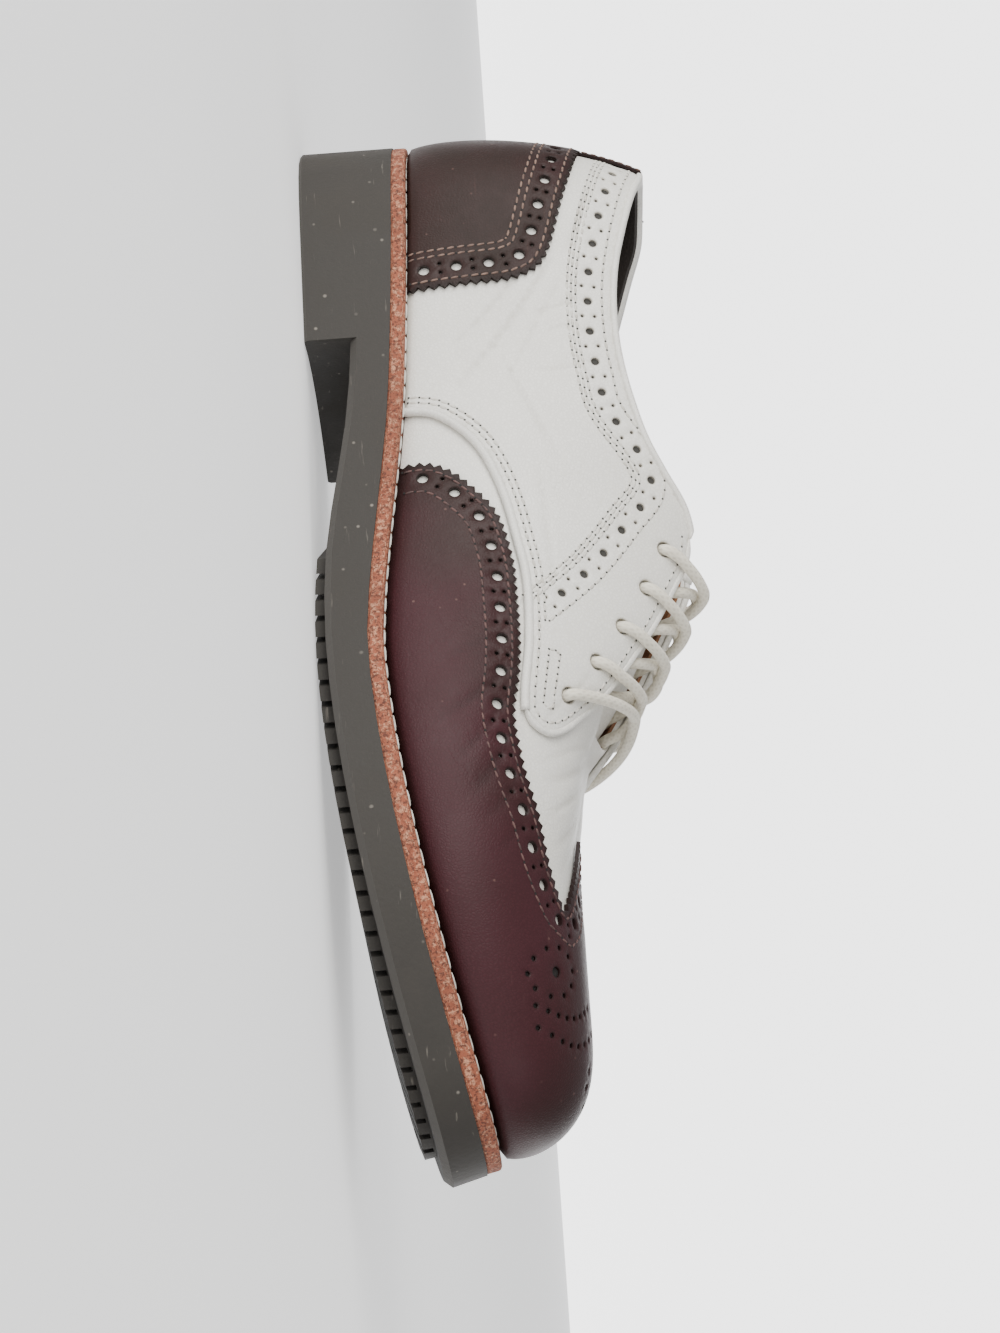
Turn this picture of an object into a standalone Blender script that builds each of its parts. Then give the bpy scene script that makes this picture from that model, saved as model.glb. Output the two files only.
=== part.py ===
"""Full-brogue derby shoe for the left foot: two leathers on a rubber unit sole with a block heel.

Metres. +X runs from heel to toe, +Z is up and -Y is the inner side of the foot.
The upper is a lasted surface, and everything that lies on it or in it is cut from that surface.
"""
import bmesh
import bpy
import numpy as np
from mathutils import Matrix

MM = 0.001

# Clearance between pieces that touch on the real shoe
FIT_GAP = 0.3 * MM

# Sole, seen from below and from the side
SOLE_LENGTH = 300 * MM
BALL_WIDTH = 103.5 * MM
HEEL_WIDTH = 69 * MM
TOE_SWING = 2 * MM
HEEL_STACK = 26 * MM
BALL_STACK = 13.4 * MM
BREAST_HEIGHT = 12.4 * MM
TOE_SPRING = 21 * MM
HEEL_LENGTH = 78.5 * MM
BREAST_HOLLOW = 6 * MM
BREAST_SKEW = 3.8 * MM
EDGE_BEVEL = 1.8 * MM
HEEL_BEVEL = 0.8 * MM

# Raised forefoot tread
TREAD_DEPTH = 3 * MM
TREAD_MARGIN = 8 * MM
TREAD_FIRST = 171 * MM
TREAD_PITCH = 5.8 * MM
TREAD_SLOT = 1.7 * MM
TREAD_FLOOR = 0.5 * MM
TREAD_ROOT = 1.2 * MM
TREAD_POINT = 0.36
TREAD_SWEEP = 0.62
TREAD_RETURN = 0.42

# Leather midsole, whose edge is the welt, and the sock inside
WELT_THICK = 3.8 * MM
WELT_SET_BACK = 0.4 * MM
INSOLE_THICK = 2.5 * MM
INSOLE_CLEAR = 2.6 * MM

# Lasted upper
HEEL_REVEAL = 5.6 * MM
BALL_REVEAL = 8.0 * MM
HEEL_SWELL = 3.2 * MM
SIDE_SWELL = 3.0 * MM
TOE_SWELL = 3.6 * MM
INSTEP_HEIGHT = 103 * MM
TOE_HEIGHT = 61.3 * MM
CONE_HEIGHT = 113 * MM
BACK_HEIGHT = 94 * MM
COLLAR_HEIGHT = 83 * MM
COLLAR_DROP = 3 * MM
FRONT_HEIGHT = 98.5 * MM
UPPER_WALL = 2.0 * MM
OVERLAY_WALL = 1.4 * MM

# Tongue and laces
TONGUE_WALL = 2.0 * MM
TONGUE_SINK = 1.25 * MM
TONGUE_DIP = 6 * MM
LACE_WIDTH = 3.6 * MM

# Sole outline: half widths as shares of half the heel width and half the ball width
OUTLINE_COLUMNS = ("along", "heel", "inner_ball", "outer_ball")
OUTLINE = (
    (0.000, 0.000, 0.000, 0.000),
    (0.025, 0.614, 0.000, 0.000),
    (0.055, 0.845, 0.000, 0.002),
    (0.100, 0.970, 0.000, 0.006),
    (0.160, 0.985, 0.006, 0.018),
    (0.250, 0.900, 0.070, 0.100),
    (0.340, 0.600, 0.285, 0.345),
    (0.420, 0.300, 0.525, 0.630),
    (0.500, 0.100, 0.738, 0.862),
    (0.580, 0.000, 0.893, 1.010),
    (0.650, 0.000, 0.946, 1.042),
    (0.720, 0.000, 0.958, 1.010),
    (0.790, 0.000, 0.920, 0.925),
    (0.860, 0.000, 0.812, 0.794),
    (0.910, 0.000, 0.692, 0.667),
    (0.950, 0.000, 0.568, 0.539),
    (0.980, 0.000, 0.385, 0.364),
    (1.000, 0.000, 0.000, 0.000),
)

# Waist: how much of the heel's extra height is left, on top of the rubber and on its underside
WAIST_COLUMNS = ("along", "deck", "under")
WAIST = (
    (0.00, 1.00, 1.00),
    (0.12, 0.92, 1.00),
    (0.25, 0.76, 1.00),
    (0.33, 0.62, 0.78),
    (0.40, 0.42, 0.42),
    (0.46, 0.24, 0.12),
    (0.52, 0.09, 0.00),
    (0.58, 0.01, 0.00),
    (0.64, 0.00, 0.00),
    (1.00, 0.00, 0.00),
)

# Ridge of the last: shares of the cone, instep and toe heights, and its side shift in half ball widths
RIDGE_COLUMNS = ("along", "cone", "instep", "toe", "shift")
RIDGE = (
    (0.10, 1.00, 0.00, 0.000, 0.00),
    (0.25, 1.00, 0.00, 0.000, 0.00),
    (0.33, 0.85, 0.15, 0.000, -0.01),
    (0.40, 0.40, 0.61, 0.000, -0.02),
    (0.45, 0.00, 1.00, 0.000, -0.03),
    (0.50, 0.00, 0.925, 0.000, -0.04),
    (0.54, 0.00, 0.838, 0.030, -0.05),
    (0.58, 0.00, 0.560, 0.355, -0.06),
    (0.61, 0.00, 0.270, 0.695, -0.07),
    (0.64, 0.00, 0.100, 0.920, -0.07),
    (0.68, 0.00, 0.020, 1.018, -0.06),
    (0.72, 0.00, 0.000, 1.008, -0.05),
    (0.80, 0.00, 0.000, 1.000, -0.02),
    (0.89, 0.00, 0.000, 1.000, 0.02),
)
HEEL_POLE = 0.13
TOE_POLE = 0.87

# Fullness of the sections (2 is an ellipse), and which swell and reveal each takes
SECTION_COLUMNS = ("along", "fullness", "heel_swell", "side_swell", "toe_swell", "reveal")
SECTIONS = (
    (0.00, 2.35, 1.00, 0.00, 0.00, 0.00),
    (0.06, 2.35, 0.70, 0.20, 0.00, 0.00),
    (0.20, 2.30, 0.00, 0.50, 0.00, 0.00),
    (0.36, 2.00, 0.00, 0.60, 0.00, 0.20),
    (0.48, 1.80, 0.00, 0.80, 0.00, 0.60),
    (0.60, 1.95, 0.00, 1.00, 0.00, 1.00),
    (0.72, 2.30, 0.00, 1.00, 0.00, 1.00),
    (0.86, 2.70, 0.00, 0.60, 0.40, 1.00),
    (0.95, 3.00, 0.00, 0.10, 0.90, 1.00),
    (1.00, 3.10, 0.00, 0.00, 1.00, 1.00),
)
SWELL_PEAK = 0.25

# Top edge of the quarters: turn is the place round the shoe, heights are shares of the collar sizes
COLLAR_COLUMNS = ("turn", "back", "collar", "front")
COLLAR = (
    (0.000, 1.00, 0.00, 0.00),
    (0.070, 0.97, 0.03, 0.00),
    (0.120, 0.91, 0.09, 0.00),
    (0.170, 0.68, 0.32, 0.00),
    (0.223, 0.39, 0.61, 0.00),
    (0.273, 0.09, 0.91, 0.00),
    (0.302, 0.00, 1.00, 0.00),
    (0.340, 0.00, 0.98, 0.02),
    (0.375, 0.00, 0.82, 0.18),
    (0.400, 0.00, 0.62, 0.38),
    (0.417, 0.00, 0.39, 0.61),
    (0.435, 0.00, 0.11, 0.89),
    (0.455, 0.00, 0.00, 1.00),
)

# Edge of the throat, from the collar's corner down the facings and across the vamp
THROAT_COLUMNS = ("turn", "up")
THROAT = (
    (0.455, 0.765),
    (0.473, 0.792),
    (0.500, 0.780),
    (0.540, 0.752),
    (0.568, 0.718),
    (0.588, 0.850),
    (0.600, 1.000),
)

# Front edge of a quarter: from the welt up over the vamp, round the lobe
QUARTER_COLUMNS = ("turn", "up")
QUARTER_FRONT = (
    (0.390, -0.12),
    (0.390, 0.00),
    (0.396, 0.07),
    (0.417, 0.157),
    (0.445, 0.23),
    (0.478, 0.292),
    (0.510, 0.338),
    (0.545, 0.367),
    (0.573, 0.385),
    (0.595, 0.41),
    (0.607, 0.455),
    (0.611, 0.527),
    (0.605, 0.62),
    (0.592, 0.685),
    (0.578, 0.735),
    (0.566, 0.80),
    (0.560, 0.92),
)

# Rear edge of the wing cap: round is the place across the shoe, from 1 at the welt to 0 on the ridge
WING_COLUMNS = ("round", "turn")
WING = (
    (1.12, 0.427),
    (0.99, 0.427),
    (0.938, 0.427),
    (0.892, 0.432),
    (0.838, 0.443),
    (0.760, 0.463),
    (0.703, 0.492),
    (0.675, 0.517),
    (0.655, 0.547),
    (0.637, 0.575),
    (0.610, 0.613),
    (0.585, 0.640),
    (0.550, 0.670),
    (0.508, 0.698),
    (0.455, 0.725),
    (0.400, 0.743),
    (0.350, 0.740),
    (0.280, 0.727),
    (0.160, 0.707),
    (0.000, 0.687),
)

# Top edge of the heel foxing, from the back seam forward, and the corner above its front edge
FOXING_COLUMNS = ("turn", "up")
FOXING = (
    (0.000, 0.355),
    (0.090, 0.345),
    (0.170, 0.320),
    (0.228, 0.288),
    (0.258, 0.270),
    (0.285, 0.250),
)
FOXING_FOOT = 0.303

# Eyelets, from the collar down to the vamp, on each facing
EYELET_COLUMNS = ("turn", "up")
EYELETS = (
    (0.468, 0.682),
    (0.497, 0.670),
    (0.527, 0.640),
    (0.555, 0.593),
    (0.580, 0.545),
)

# Mesh steps: places round the shoe and from welt to ridge
TURNS = 28
RISERS = 9
PROBE = 0.004


def column(table, names, name):
    """One named column of a table, as an array."""
    return np.array([row[names.index(name)] for row in table], dtype=float)


def spline(xs, ys, x):
    """Smooth curve through the points (xs, ys), read at x."""
    x = np.clip(np.asarray(x, dtype=float), xs[0], xs[-1])
    slope = np.gradient(ys, xs)
    i = np.clip(np.searchsorted(xs, x, side="right") - 1, 0, len(xs) - 2)
    step = xs[i + 1] - xs[i]
    t = (x - xs[i]) / step
    rise = ys[i] * (2 * t ** 3 - 3 * t ** 2 + 1) + ys[i + 1] * (3 * t ** 2 - 2 * t ** 3)
    return rise + step * (slope[i] * (t ** 3 - 2 * t ** 2 + t) + slope[i + 1] * (t ** 3 - t ** 2))


def along_to_turn(along):
    """Place round the shoe, 0 at the heel and 1 at the toe, for a share of its length."""
    return np.arccos(1 - 2 * np.clip(along, 0, 1)) / np.pi


def turn_to_along(turn):
    """Share of the length for a place round the shoe."""
    return (1 - np.cos(np.pi * np.asarray(turn, dtype=float))) / 2


def read(table, names, name, along, by_turn=False):
    """A table's column read at a share of the length, by way of the turn where ends are round."""
    xs = column(table, names, names[0])
    if by_turn:
        return spline(along_to_turn(xs), column(table, names, name), along_to_turn(along))
    return spline(xs, column(table, names, name), along)


def toe_rise(x):
    """Height of the toe spring at x, flat up to the front of the forefoot's resting spot."""
    flat_end = 0.56
    share = np.clip((x / SOLE_LENGTH - flat_end) / (1 - flat_end), 0, 1.1)
    return TOE_SPRING * share ** 1.6


def toe_slope(x):
    """Slope of the toe spring at x."""
    return (toe_rise(x + PROBE * SOLE_LENGTH) - toe_rise(x - PROBE * SOLE_LENGTH)) / (2 * PROBE * SOLE_LENGTH)


def underside(x):
    """Height of the rubber's underside in front of the heel, between tread and edge."""
    left = read(WAIST, WAIST_COLUMNS, "under", x / SOLE_LENGTH)
    return TREAD_DEPTH + (BREAST_HEIGHT - TREAD_DEPTH) * left + toe_rise(x)


def deck(x):
    """Height of the rubber's upper face."""
    left = read(WAIST, WAIST_COLUMNS, "deck", x / SOLE_LENGTH)
    return BALL_STACK + (HEEL_STACK - BALL_STACK) * left + toe_rise(x)


def plan(turn, side, inset=0.0):
    """Outline of the sole at a place round it, moved inwards by inset. side is -1 inner, 1 outer."""

    def edge(t):
        folded = np.where(t < 0, -t, np.where(t > 1, 2 - t, t))
        flip = np.where((t < 0) | (t > 1), -side, side)
        along = turn_to_along(folded)
        heel = read(OUTLINE, OUTLINE_COLUMNS, "heel", along, True) * HEEL_WIDTH / 2
        inner = read(OUTLINE, OUTLINE_COLUMNS, "inner_ball", along, True) * BALL_WIDTH / 2
        outer = read(OUTLINE, OUTLINE_COLUMNS, "outer_ball", along, True) * BALL_WIDTH / 2
        swing = TOE_SWING * along ** 3
        return along * SOLE_LENGTH, swing + flip * (heel + np.where(flip < 0, inner, outer))

    turn = np.asarray(turn, dtype=float)
    x, y = edge(turn)
    x_after, y_after = edge(turn + PROBE)
    x_before, y_before = edge(turn - PROBE)
    tx, ty = x_after - x_before, y_after - y_before
    size = np.hypot(tx, ty)
    return x + side * inset * ty / size, y - side * inset * tx / size


def leaned(x, lift):
    """x of a point lifted off the underside, which leans back where the toe springs."""
    slope = toe_slope(x)
    return x - lift * slope / (1 + slope ** 2)


def last_points(turn, across, out=0.0):
    """Points of the lasted surface.

    turn goes round from the heel (0) to the toe (1). across runs over the shoe from -1 at the inner
    welt through 0 on the ridge to 1 at the outer welt, and past 1 straight down. out is the distance
    off the surface. Each section is a quarter of a rounded square from the welt to the ridge, with a
    swell low on its wall.
    """

    def surface(t, a):
        beyond = (t < 0) | (t > 1)
        t = np.where(t < 0, -t, np.where(t > 1, 2 - t, t))
        a = np.where(beyond, -a, a)
        side = np.where(a < 0, -1.0, 1.0)
        up = np.clip(1 - np.abs(a), 0, 1)
        along = turn_to_along(t)
        reveal_share = read(SECTIONS, SECTION_COLUMNS, "reveal", along)
        reveal = HEEL_REVEAL + (BALL_REVEAL - HEEL_REVEAL) * reveal_share
        swell = (HEEL_SWELL * read(SECTIONS, SECTION_COLUMNS, "heel_swell", along)
                 + SIDE_SWELL * read(SECTIONS, SECTION_COLUMNS, "side_swell", along)
                 + TOE_SWELL * read(SECTIONS, SECTION_COLUMNS, "toe_swell", along))
        fullness = read(SECTIONS, SECTION_COLUMNS, "fullness", along)
        foot_x, foot_y = plan(t, side, reveal)
        lift = deck(foot_x) + WELT_THICK + 2 * FIT_GAP
        out_x, out_y = plan(t, side, reveal - 1 * MM)
        foot_z = lift
        foot_lean = leaned(foot_x, lift - underside(foot_x)) - foot_x
        top_along = HEEL_POLE + (TOE_POLE - HEEL_POLE) * along
        top_x = top_along * SOLE_LENGTH
        top_y = read(RIDGE, RIDGE_COLUMNS, "shift", top_along) * BALL_WIDTH / 2
        top_z = (CONE_HEIGHT * read(RIDGE, RIDGE_COLUMNS, "cone", top_along)
                 + INSTEP_HEIGHT * read(RIDGE, RIDGE_COLUMNS, "instep", top_along)
                 + TOE_HEIGHT * read(RIDGE, RIDGE_COLUMNS, "toe", top_along))
        angle = up * np.pi / 2
        rise = np.sin(angle) ** (2 / fullness)
        run = 1 - np.cos(angle) ** (2 / fullness)
        puff = swell * np.sin(np.pi * rise ** (np.log(0.5) / np.log(SWELL_PEAK)))
        x = foot_x + foot_lean + (top_x - foot_x - foot_lean) * run + (out_x - foot_x) / MM * puff
        y = foot_y + (top_y - foot_y) * run + (out_y - foot_y) / MM * puff
        z = foot_z + (top_z - foot_z) * rise + np.minimum(1 - np.abs(a), 0) * INSTEP_HEIGHT
        return np.stack([x, y, z], axis=-1)

    turn, across = np.broadcast_arrays(np.asarray(turn, dtype=float), np.asarray(across, dtype=float))
    points = surface(turn, across)
    if out == 0.0:
        return points
    near_ridge = np.abs(across) < 0.02
    calm = np.where(near_ridge, np.clip(turn, 0.03, 0.97), turn)
    held = np.clip(across, -1 + PROBE, 1 - PROBE)
    along_step = surface(calm + PROBE, held) - surface(calm - PROBE, held)
    across_step = surface(calm, held + PROBE) - surface(calm, held - PROBE)
    normal = np.cross(along_step, across_step)
    welt_slope = toe_slope(points[..., 0]) * normal[..., 0]
    normal[..., 2] = np.where(np.abs(across) > 1 - PROBE, welt_slope, normal[..., 2])
    normal /= np.linalg.norm(normal, axis=-1, keepdims=True)
    return points + out * normal


def up_at_height(turn, side, height):
    """How far up its section, as a share, the surface passes a height."""
    foot = last_points(turn, side * 1.0)[..., 2]
    top = last_points(turn, 0.0)[..., 2]
    fullness = read(SECTIONS, SECTION_COLUMNS, "fullness", turn_to_along(turn))
    rise = np.clip((height - foot) / (top - foot), 0, 1)
    return np.arcsin(rise ** (fullness / 2)) * 2 / np.pi


def top_edge(turn, side):
    """How far up the quarters and the vamp go at a place: collar, throat, then the closed vamp."""
    turn = np.asarray(turn, dtype=float)
    xs = column(COLLAR, COLLAR_COLUMNS, "turn")
    low = COLLAR_HEIGHT - np.where(side > 0, COLLAR_DROP, 0.0)
    height = sum(size * spline(xs, column(COLLAR, COLLAR_COLUMNS, name), turn)
                 for name, size in (("back", BACK_HEIGHT), ("collar", low), ("front", FRONT_HEIGHT)))
    throat = read(THROAT, THROAT_COLUMNS, "up", turn)
    return np.where(turn < THROAT[0][0], np.minimum(up_at_height(turn, side, height), THROAT[0][1]),
                    np.clip(throat, 0, 1))


def new_object(name, mesh, material, parts):
    """An object for a mesh, in the parts collection, smooth but for its sharp edges."""
    obj = bpy.data.objects.new(name, mesh)
    mesh.materials.append(material)
    mesh.shade_smooth()
    mesh.set_sharp_from_angle(angle=np.radians(35))
    parts.objects.link(obj)
    return obj


def mesh_from(name, points, faces):
    """A mesh from points and faces, with doubles merged and its faces turned outwards."""
    mesh = bpy.data.meshes.new(name)
    mesh.from_pydata([tuple(p) for p in points], [], faces)
    bm = bmesh.new()
    bm.from_mesh(mesh)
    bmesh.ops.remove_doubles(bm, verts=bm.verts, dist=0.00001)
    bmesh.ops.dissolve_degenerate(bm, edges=bm.edges, dist=0.00001)
    bmesh.ops.triangulate(bm, faces=bm.faces)
    bmesh.ops.recalc_face_normals(bm, faces=bm.faces)
    bm.to_mesh(mesh)
    bm.free()
    return mesh


def slab_mesh(name, outer, inner, closed=False, open_edge=None):
    """A closed wall between two grids of points.

    The grids run along the rows and up the columns. closed joins the last row to the first.
    open_edge says for each row whether its last column is a free edge.
    """
    rows, cols = outer.shape[:2]
    points = np.concatenate([outer.reshape(-1, 3), inner.reshape(-1, 3)])
    half = rows * cols
    free = np.ones(rows, dtype=bool) if open_edge is None else open_edge
    faces = []
    for i in range(rows if closed else rows - 1):
        k = (i + 1) % rows
        for j in range(cols - 1):
            a, b, c, d = i * cols + j, k * cols + j, k * cols + j + 1, i * cols + j + 1
            faces.append((a, b, c, d))
            faces.append((half + d, half + c, half + b, half + a))
        faces.append((i * cols, half + i * cols, half + k * cols, k * cols))
        if free[i] or free[k]:
            a, b = i * cols + cols - 1, k * cols + cols - 1
            faces.append((a, b, half + b, half + a))
    if not closed:
        for j in range(cols - 1):
            a, b = j, half + j
            faces.append((a, a + 1, b + 1, b))
            last = (rows - 1) * cols + j
            faces.append((last + 1, last, half + last, half + last + 1))
    return mesh_from(name, points, faces)


def ring_stations(first=0.0):
    """Places round the shoe with their sides, from the inner side over the toe to the outer side."""
    turns = np.append(np.linspace(0, 1, TURNS), (THROAT[0][0], THROAT[-1][0]))
    turns = np.sort(np.append(turns[turns > first], first))
    inner = [(t, -1.0) for t in turns]
    outer = [(t, 1.0) for t in turns[::-1][1:]]
    return inner + (outer[:-1] if first == 0.0 else outer)


def lasted_grid(stations, out):
    """Points of the upper's surface at the stations, from the welt to the top edge, off it by out."""
    risers = np.linspace(0, 1, RISERS + 1)
    rows = []
    for turn, side in stations:
        up = risers * top_edge(turn, side)
        rows.append(last_points(np.full_like(up, turn), side * (1 - up), out))
    return np.array(rows)


def lasted_form(name, low, high, first=0.0):
    """The wall between two distances off the lasted surface, open at the collar and the throat."""
    stations = ring_stations(first)
    free = np.array([top_edge(turn, side) < 1 - 1e-6 for turn, side in stations])
    return slab_mesh(name, lasted_grid(stations, high), lasted_grid(stations, low), first == 0.0, free)


def region_mesh(name, turns, across):
    """A thick block over a stretch of the lasted surface, to trim an overlay with."""
    above, below = 4 * OVERLAY_WALL, -2 * OVERLAY_WALL
    return slab_mesh(name, last_points(turns, across, above), last_points(turns, across, below))


def boolean(obj, cutter_mesh, operation, cutters):
    """Cut or join a mesh into an object, with the cutter kept aside."""
    cutter = bpy.data.objects.new(cutter_mesh.name, cutter_mesh)
    cutter.hide_render = True
    cutter.display_type = "WIRE"
    cutters.objects.link(cutter)
    modifier = obj.modifiers.new(operation.title(), "BOOLEAN")
    modifier.operation = operation
    modifier.solver = "EXACT"
    modifier.object = cutter


def make_outsole(material, parts, cutters):
    """Rubber unit sole: block heel with a hollow breast, arch, bevelled edge and chevron tread."""
    breast_turn = float(along_to_turn(HEEL_LENGTH / SOLE_LENGTH))
    heel_turns = np.linspace(0, breast_turn, 11)
    fore_turns = np.linspace(breast_turn, 1, 24)
    shares = np.linspace(-1, 1, 7)
    rings = []

    def ring(turn, is_heel, hollow):
        sides = {}
        for side in (-1.0, 1.0):
            shift = hollow * side * BREAST_SKEW / 2
            place = float(along_to_turn(turn_to_along(turn) + shift / SOLE_LENGTH))
            bevel = HEEL_BEVEL if is_heel else EDGE_BEVEL
            x0, y0 = plan(place, side, bevel)
            x1, y1 = plan(place, side)
            floor = 0.0 if is_heel else underside(x1)
            sole_edge = underside(x1) + EDGE_BEVEL
            sides[side] = [(x0, y0, floor), (x1, y1, floor + bevel), (x1, y1, sole_edge),
                           (leaned(x1, deck(x1) - underside(x1)), y1, deck(x1))]
        low_in, low_out = np.array(sides[-1.0][0]), np.array(sides[1.0][0])
        bottom = []
        for share in shares:
            point = low_in + (low_out - low_in) * (share + 1) / 2
            point[0] -= hollow * BREAST_HOLLOW * (1 - share ** 2)
            if not is_heel:
                point[2] = underside(point[0])
            bottom.append(tuple(point))
        return bottom + sides[1.0][1:] + sides[-1.0][:0:-1]

    fade = np.clip((heel_turns / breast_turn - 0.4) / 0.6, 0, 1)
    rings += [ring(turn, True, share) for turn, share in zip(heel_turns, fade)]
    fade = np.clip(1 - (fore_turns - breast_turn) / 0.12, 0, 1)
    rings += [ring(turn, False, share) for turn, share in zip(fore_turns, fade)]
    size = len(rings[0])
    points = [p for one in rings for p in one]
    faces = []
    for i in range(len(rings) - 1):
        for j in range(size):
            k = (j + 1) % size
            faces.append((i * size + j, i * size + k, (i + 1) * size + k, (i + 1) * size + j))
    sole = new_object("outsole", mesh_from("outsole", points, faces), material, parts)
    add_tread(sole, cutters)
    return sole


def chevron_slab(name, bands, low, high):
    """Chevron slabs right across the sole, their points towards the heel.

    bands lists the rear and front of each slab, as x at the inner edge of the ball. low and high are
    the heights of its faces off the underside.
    """
    reach = BALL_WIDTH * np.array([-0.70, -0.10, TREAD_POINT / 2, 0.70])
    half = BALL_WIDTH / 2
    peak = TREAD_POINT * half
    run = np.clip((reach + half) / (peak + half), 0, 1)
    back = TREAD_SWEEP * BALL_WIDTH * (1 - (1 - run) ** 1.4)
    back = np.where(reach > peak, back - TREAD_RETURN * TREAD_SWEEP * (reach - peak) * 2, back)
    points, faces = [], []
    for rear, front in bands:
        start, count = len(points), len(reach)
        for lift in (low, high):
            for place in (rear, front):
                points += [(place - b, y, underside(place - b) + lift) for b, y in zip(back, reach)]
        low_a, low_b, high_a, high_b = (start + count * n for n in range(4))
        for j in range(count - 1):
            faces.append((low_a + j, low_b + j, low_b + j + 1, low_a + j + 1))
            faces.append((high_a + j, high_a + j + 1, high_b + j + 1, high_b + j))
            faces.append((low_a + j, low_a + j + 1, high_a + j + 1, high_a + j))
            faces.append((low_b + j, high_b + j, high_b + j + 1, low_b + j + 1))
        for j in (0, count - 1):
            faces.append((low_a + j, high_a + j, high_b + j, low_b + j))
    return mesh_from(name, points, faces)


def add_tread(sole, cutters):
    """Raised forefoot pad, its rear edge a chevron and its face slotted into chevron bars."""
    rear_turn = float(along_to_turn((TREAD_FIRST - TREAD_SWEEP * BALL_WIDTH) / SOLE_LENGTH))
    pad = plate_mesh("tread_cutter", lambda x: underside(x) - TREAD_DEPTH, lambda x: underside(x) + TREAD_ROOT,
                     lambda turn: TREAD_MARGIN, np.linspace(rear_turn, 1, 27))
    boolean(sole, pad, "UNION", cutters)
    pad_object = cutters.objects["tread_cutter"]
    behind = [(TREAD_FIRST - BALL_WIDTH, TREAD_FIRST)]
    rear = chevron_slab("tread_rear_cutter", behind, -2 * TREAD_DEPTH, 2 * TREAD_ROOT)
    boolean(pad_object, rear, "DIFFERENCE", cutters)
    starts = np.arange(TREAD_FIRST + TREAD_PITCH, SOLE_LENGTH + TREAD_SWEEP * BALL_WIDTH, TREAD_PITCH)
    slots = [(start - TREAD_SLOT, start) for start in starts]
    grooves = chevron_slab("tread_slot_cutter", slots, -2 * TREAD_DEPTH, -TREAD_FLOOR)
    boolean(pad_object, grooves, "DIFFERENCE", cutters)


def plate_mesh(name, low, high, inset, turns):
    """A plate that follows the sole's outline, between two heights given as functions of x."""
    rings = []
    for turn in turns:
        corners = []
        for side, height in ((-1.0, low), (1.0, low), (1.0, high), (-1.0, high)):
            x, y = plan(turn, side, inset(turn))
            z = height(x)
            corners.append((leaned(x, z - underside(x)), y, z))
        rings.append(corners)
    points = [p for ring in rings for p in ring]
    faces = []
    for i in range(len(rings) - 1):
        for j in range(4):
            k = (j + 1) % 4
            faces.append((i * 4 + j, i * 4 + k, (i + 1) * 4 + k, (i + 1) * 4 + j))
    if turns[0] > 0:
        faces.append((0, 1, 2, 3))
    return mesh_from(name, points, faces)


def make_midsole(material, parts):
    """Leather midsole under the upper; its edge shows as the welt."""
    mesh = plate_mesh("midsole", lambda x: deck(x) + FIT_GAP, lambda x: deck(x) + FIT_GAP + WELT_THICK,
                      lambda turn: WELT_SET_BACK, np.linspace(0, 1, 41))
    return new_object("midsole", mesh, material, parts)


def make_insole(material, parts):
    """Sock board that closes the upper from inside."""
    base = WELT_THICK + 2 * FIT_GAP

    def inset(turn):
        share = read(SECTIONS, SECTION_COLUMNS, "reveal", turn_to_along(turn))
        return HEEL_REVEAL + (BALL_REVEAL - HEEL_REVEAL) * share + INSOLE_CLEAR

    mesh = plate_mesh("insole", lambda x: deck(x) + base, lambda x: deck(x) + base + INSOLE_THICK,
                      inset, np.linspace(0, 1, 33))
    return new_object("insole", mesh, material, parts)


def make_upper(material, parts):
    """Vamp and quarters as one lasted wall."""
    return new_object("upper", lasted_form("upper", -UPPER_WALL, 0.0), material, parts)


def between(first, last, count):
    """Grid rows that run evenly from one boundary curve to another."""
    share = np.linspace(0, 1, count)[:, None]
    return first[None, :] * (1 - share) + last[None, :] * share


def make_quarter(name, side, material, parts, cutters):
    """Quarter with its facing: from the back seam to the vamp seam, the lobe and the throat."""
    form = lasted_form(name, FIT_GAP, FIT_GAP + OVERLAY_WALL)
    quarter = new_object(name, form, material, parts)
    front_turn = column(QUARTER_FRONT, QUARTER_COLUMNS, "turn")
    front_up = column(QUARTER_FRONT, QUARTER_COLUMNS, "up")
    steps = np.linspace(0, 1, len(front_up))
    fine = np.linspace(0, 1, 31)
    front_turn = spline(steps, front_turn, fine)
    front_up = spline(steps, front_up, fine)
    back_turn = np.full_like(fine, 0.0008)
    back_up = -0.12 + fine * 0.85
    turns = between(back_turn, front_turn, 16)
    ups = between(back_up, front_up, 16)
    trim = region_mesh(name + "_cutter", turns, side * (1 - ups))
    boolean(quarter, trim, "INTERSECT", cutters)
    return quarter


def make_wing_cap(material, parts, cutters):
    """Wing cap: all of the forepart in front of the W-shaped edge."""
    form = lasted_form("wing_cap", FIT_GAP, FIT_GAP + OVERLAY_WALL, 0.36)
    wing = new_object("wing_cap", form, material, parts)
    reach = column(WING, WING_COLUMNS, "round")
    turn = column(WING, WING_COLUMNS, "turn")
    fine = np.linspace(0, 1, 25)
    steps = np.linspace(0, 1, len(reach))
    reach = spline(steps, reach, fine)
    turn = spline(steps, turn, fine)
    across = np.concatenate([-reach, reach[::-1][1:]])
    front = np.concatenate([turn, turn[::-1][1:]])
    turns = between(np.full_like(front, 0.30), front, 12)
    trim = region_mesh("wing_cutter", turns, np.broadcast_to(across, turns.shape))
    boolean(wing, trim, "DIFFERENCE", cutters)
    return wing


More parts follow.
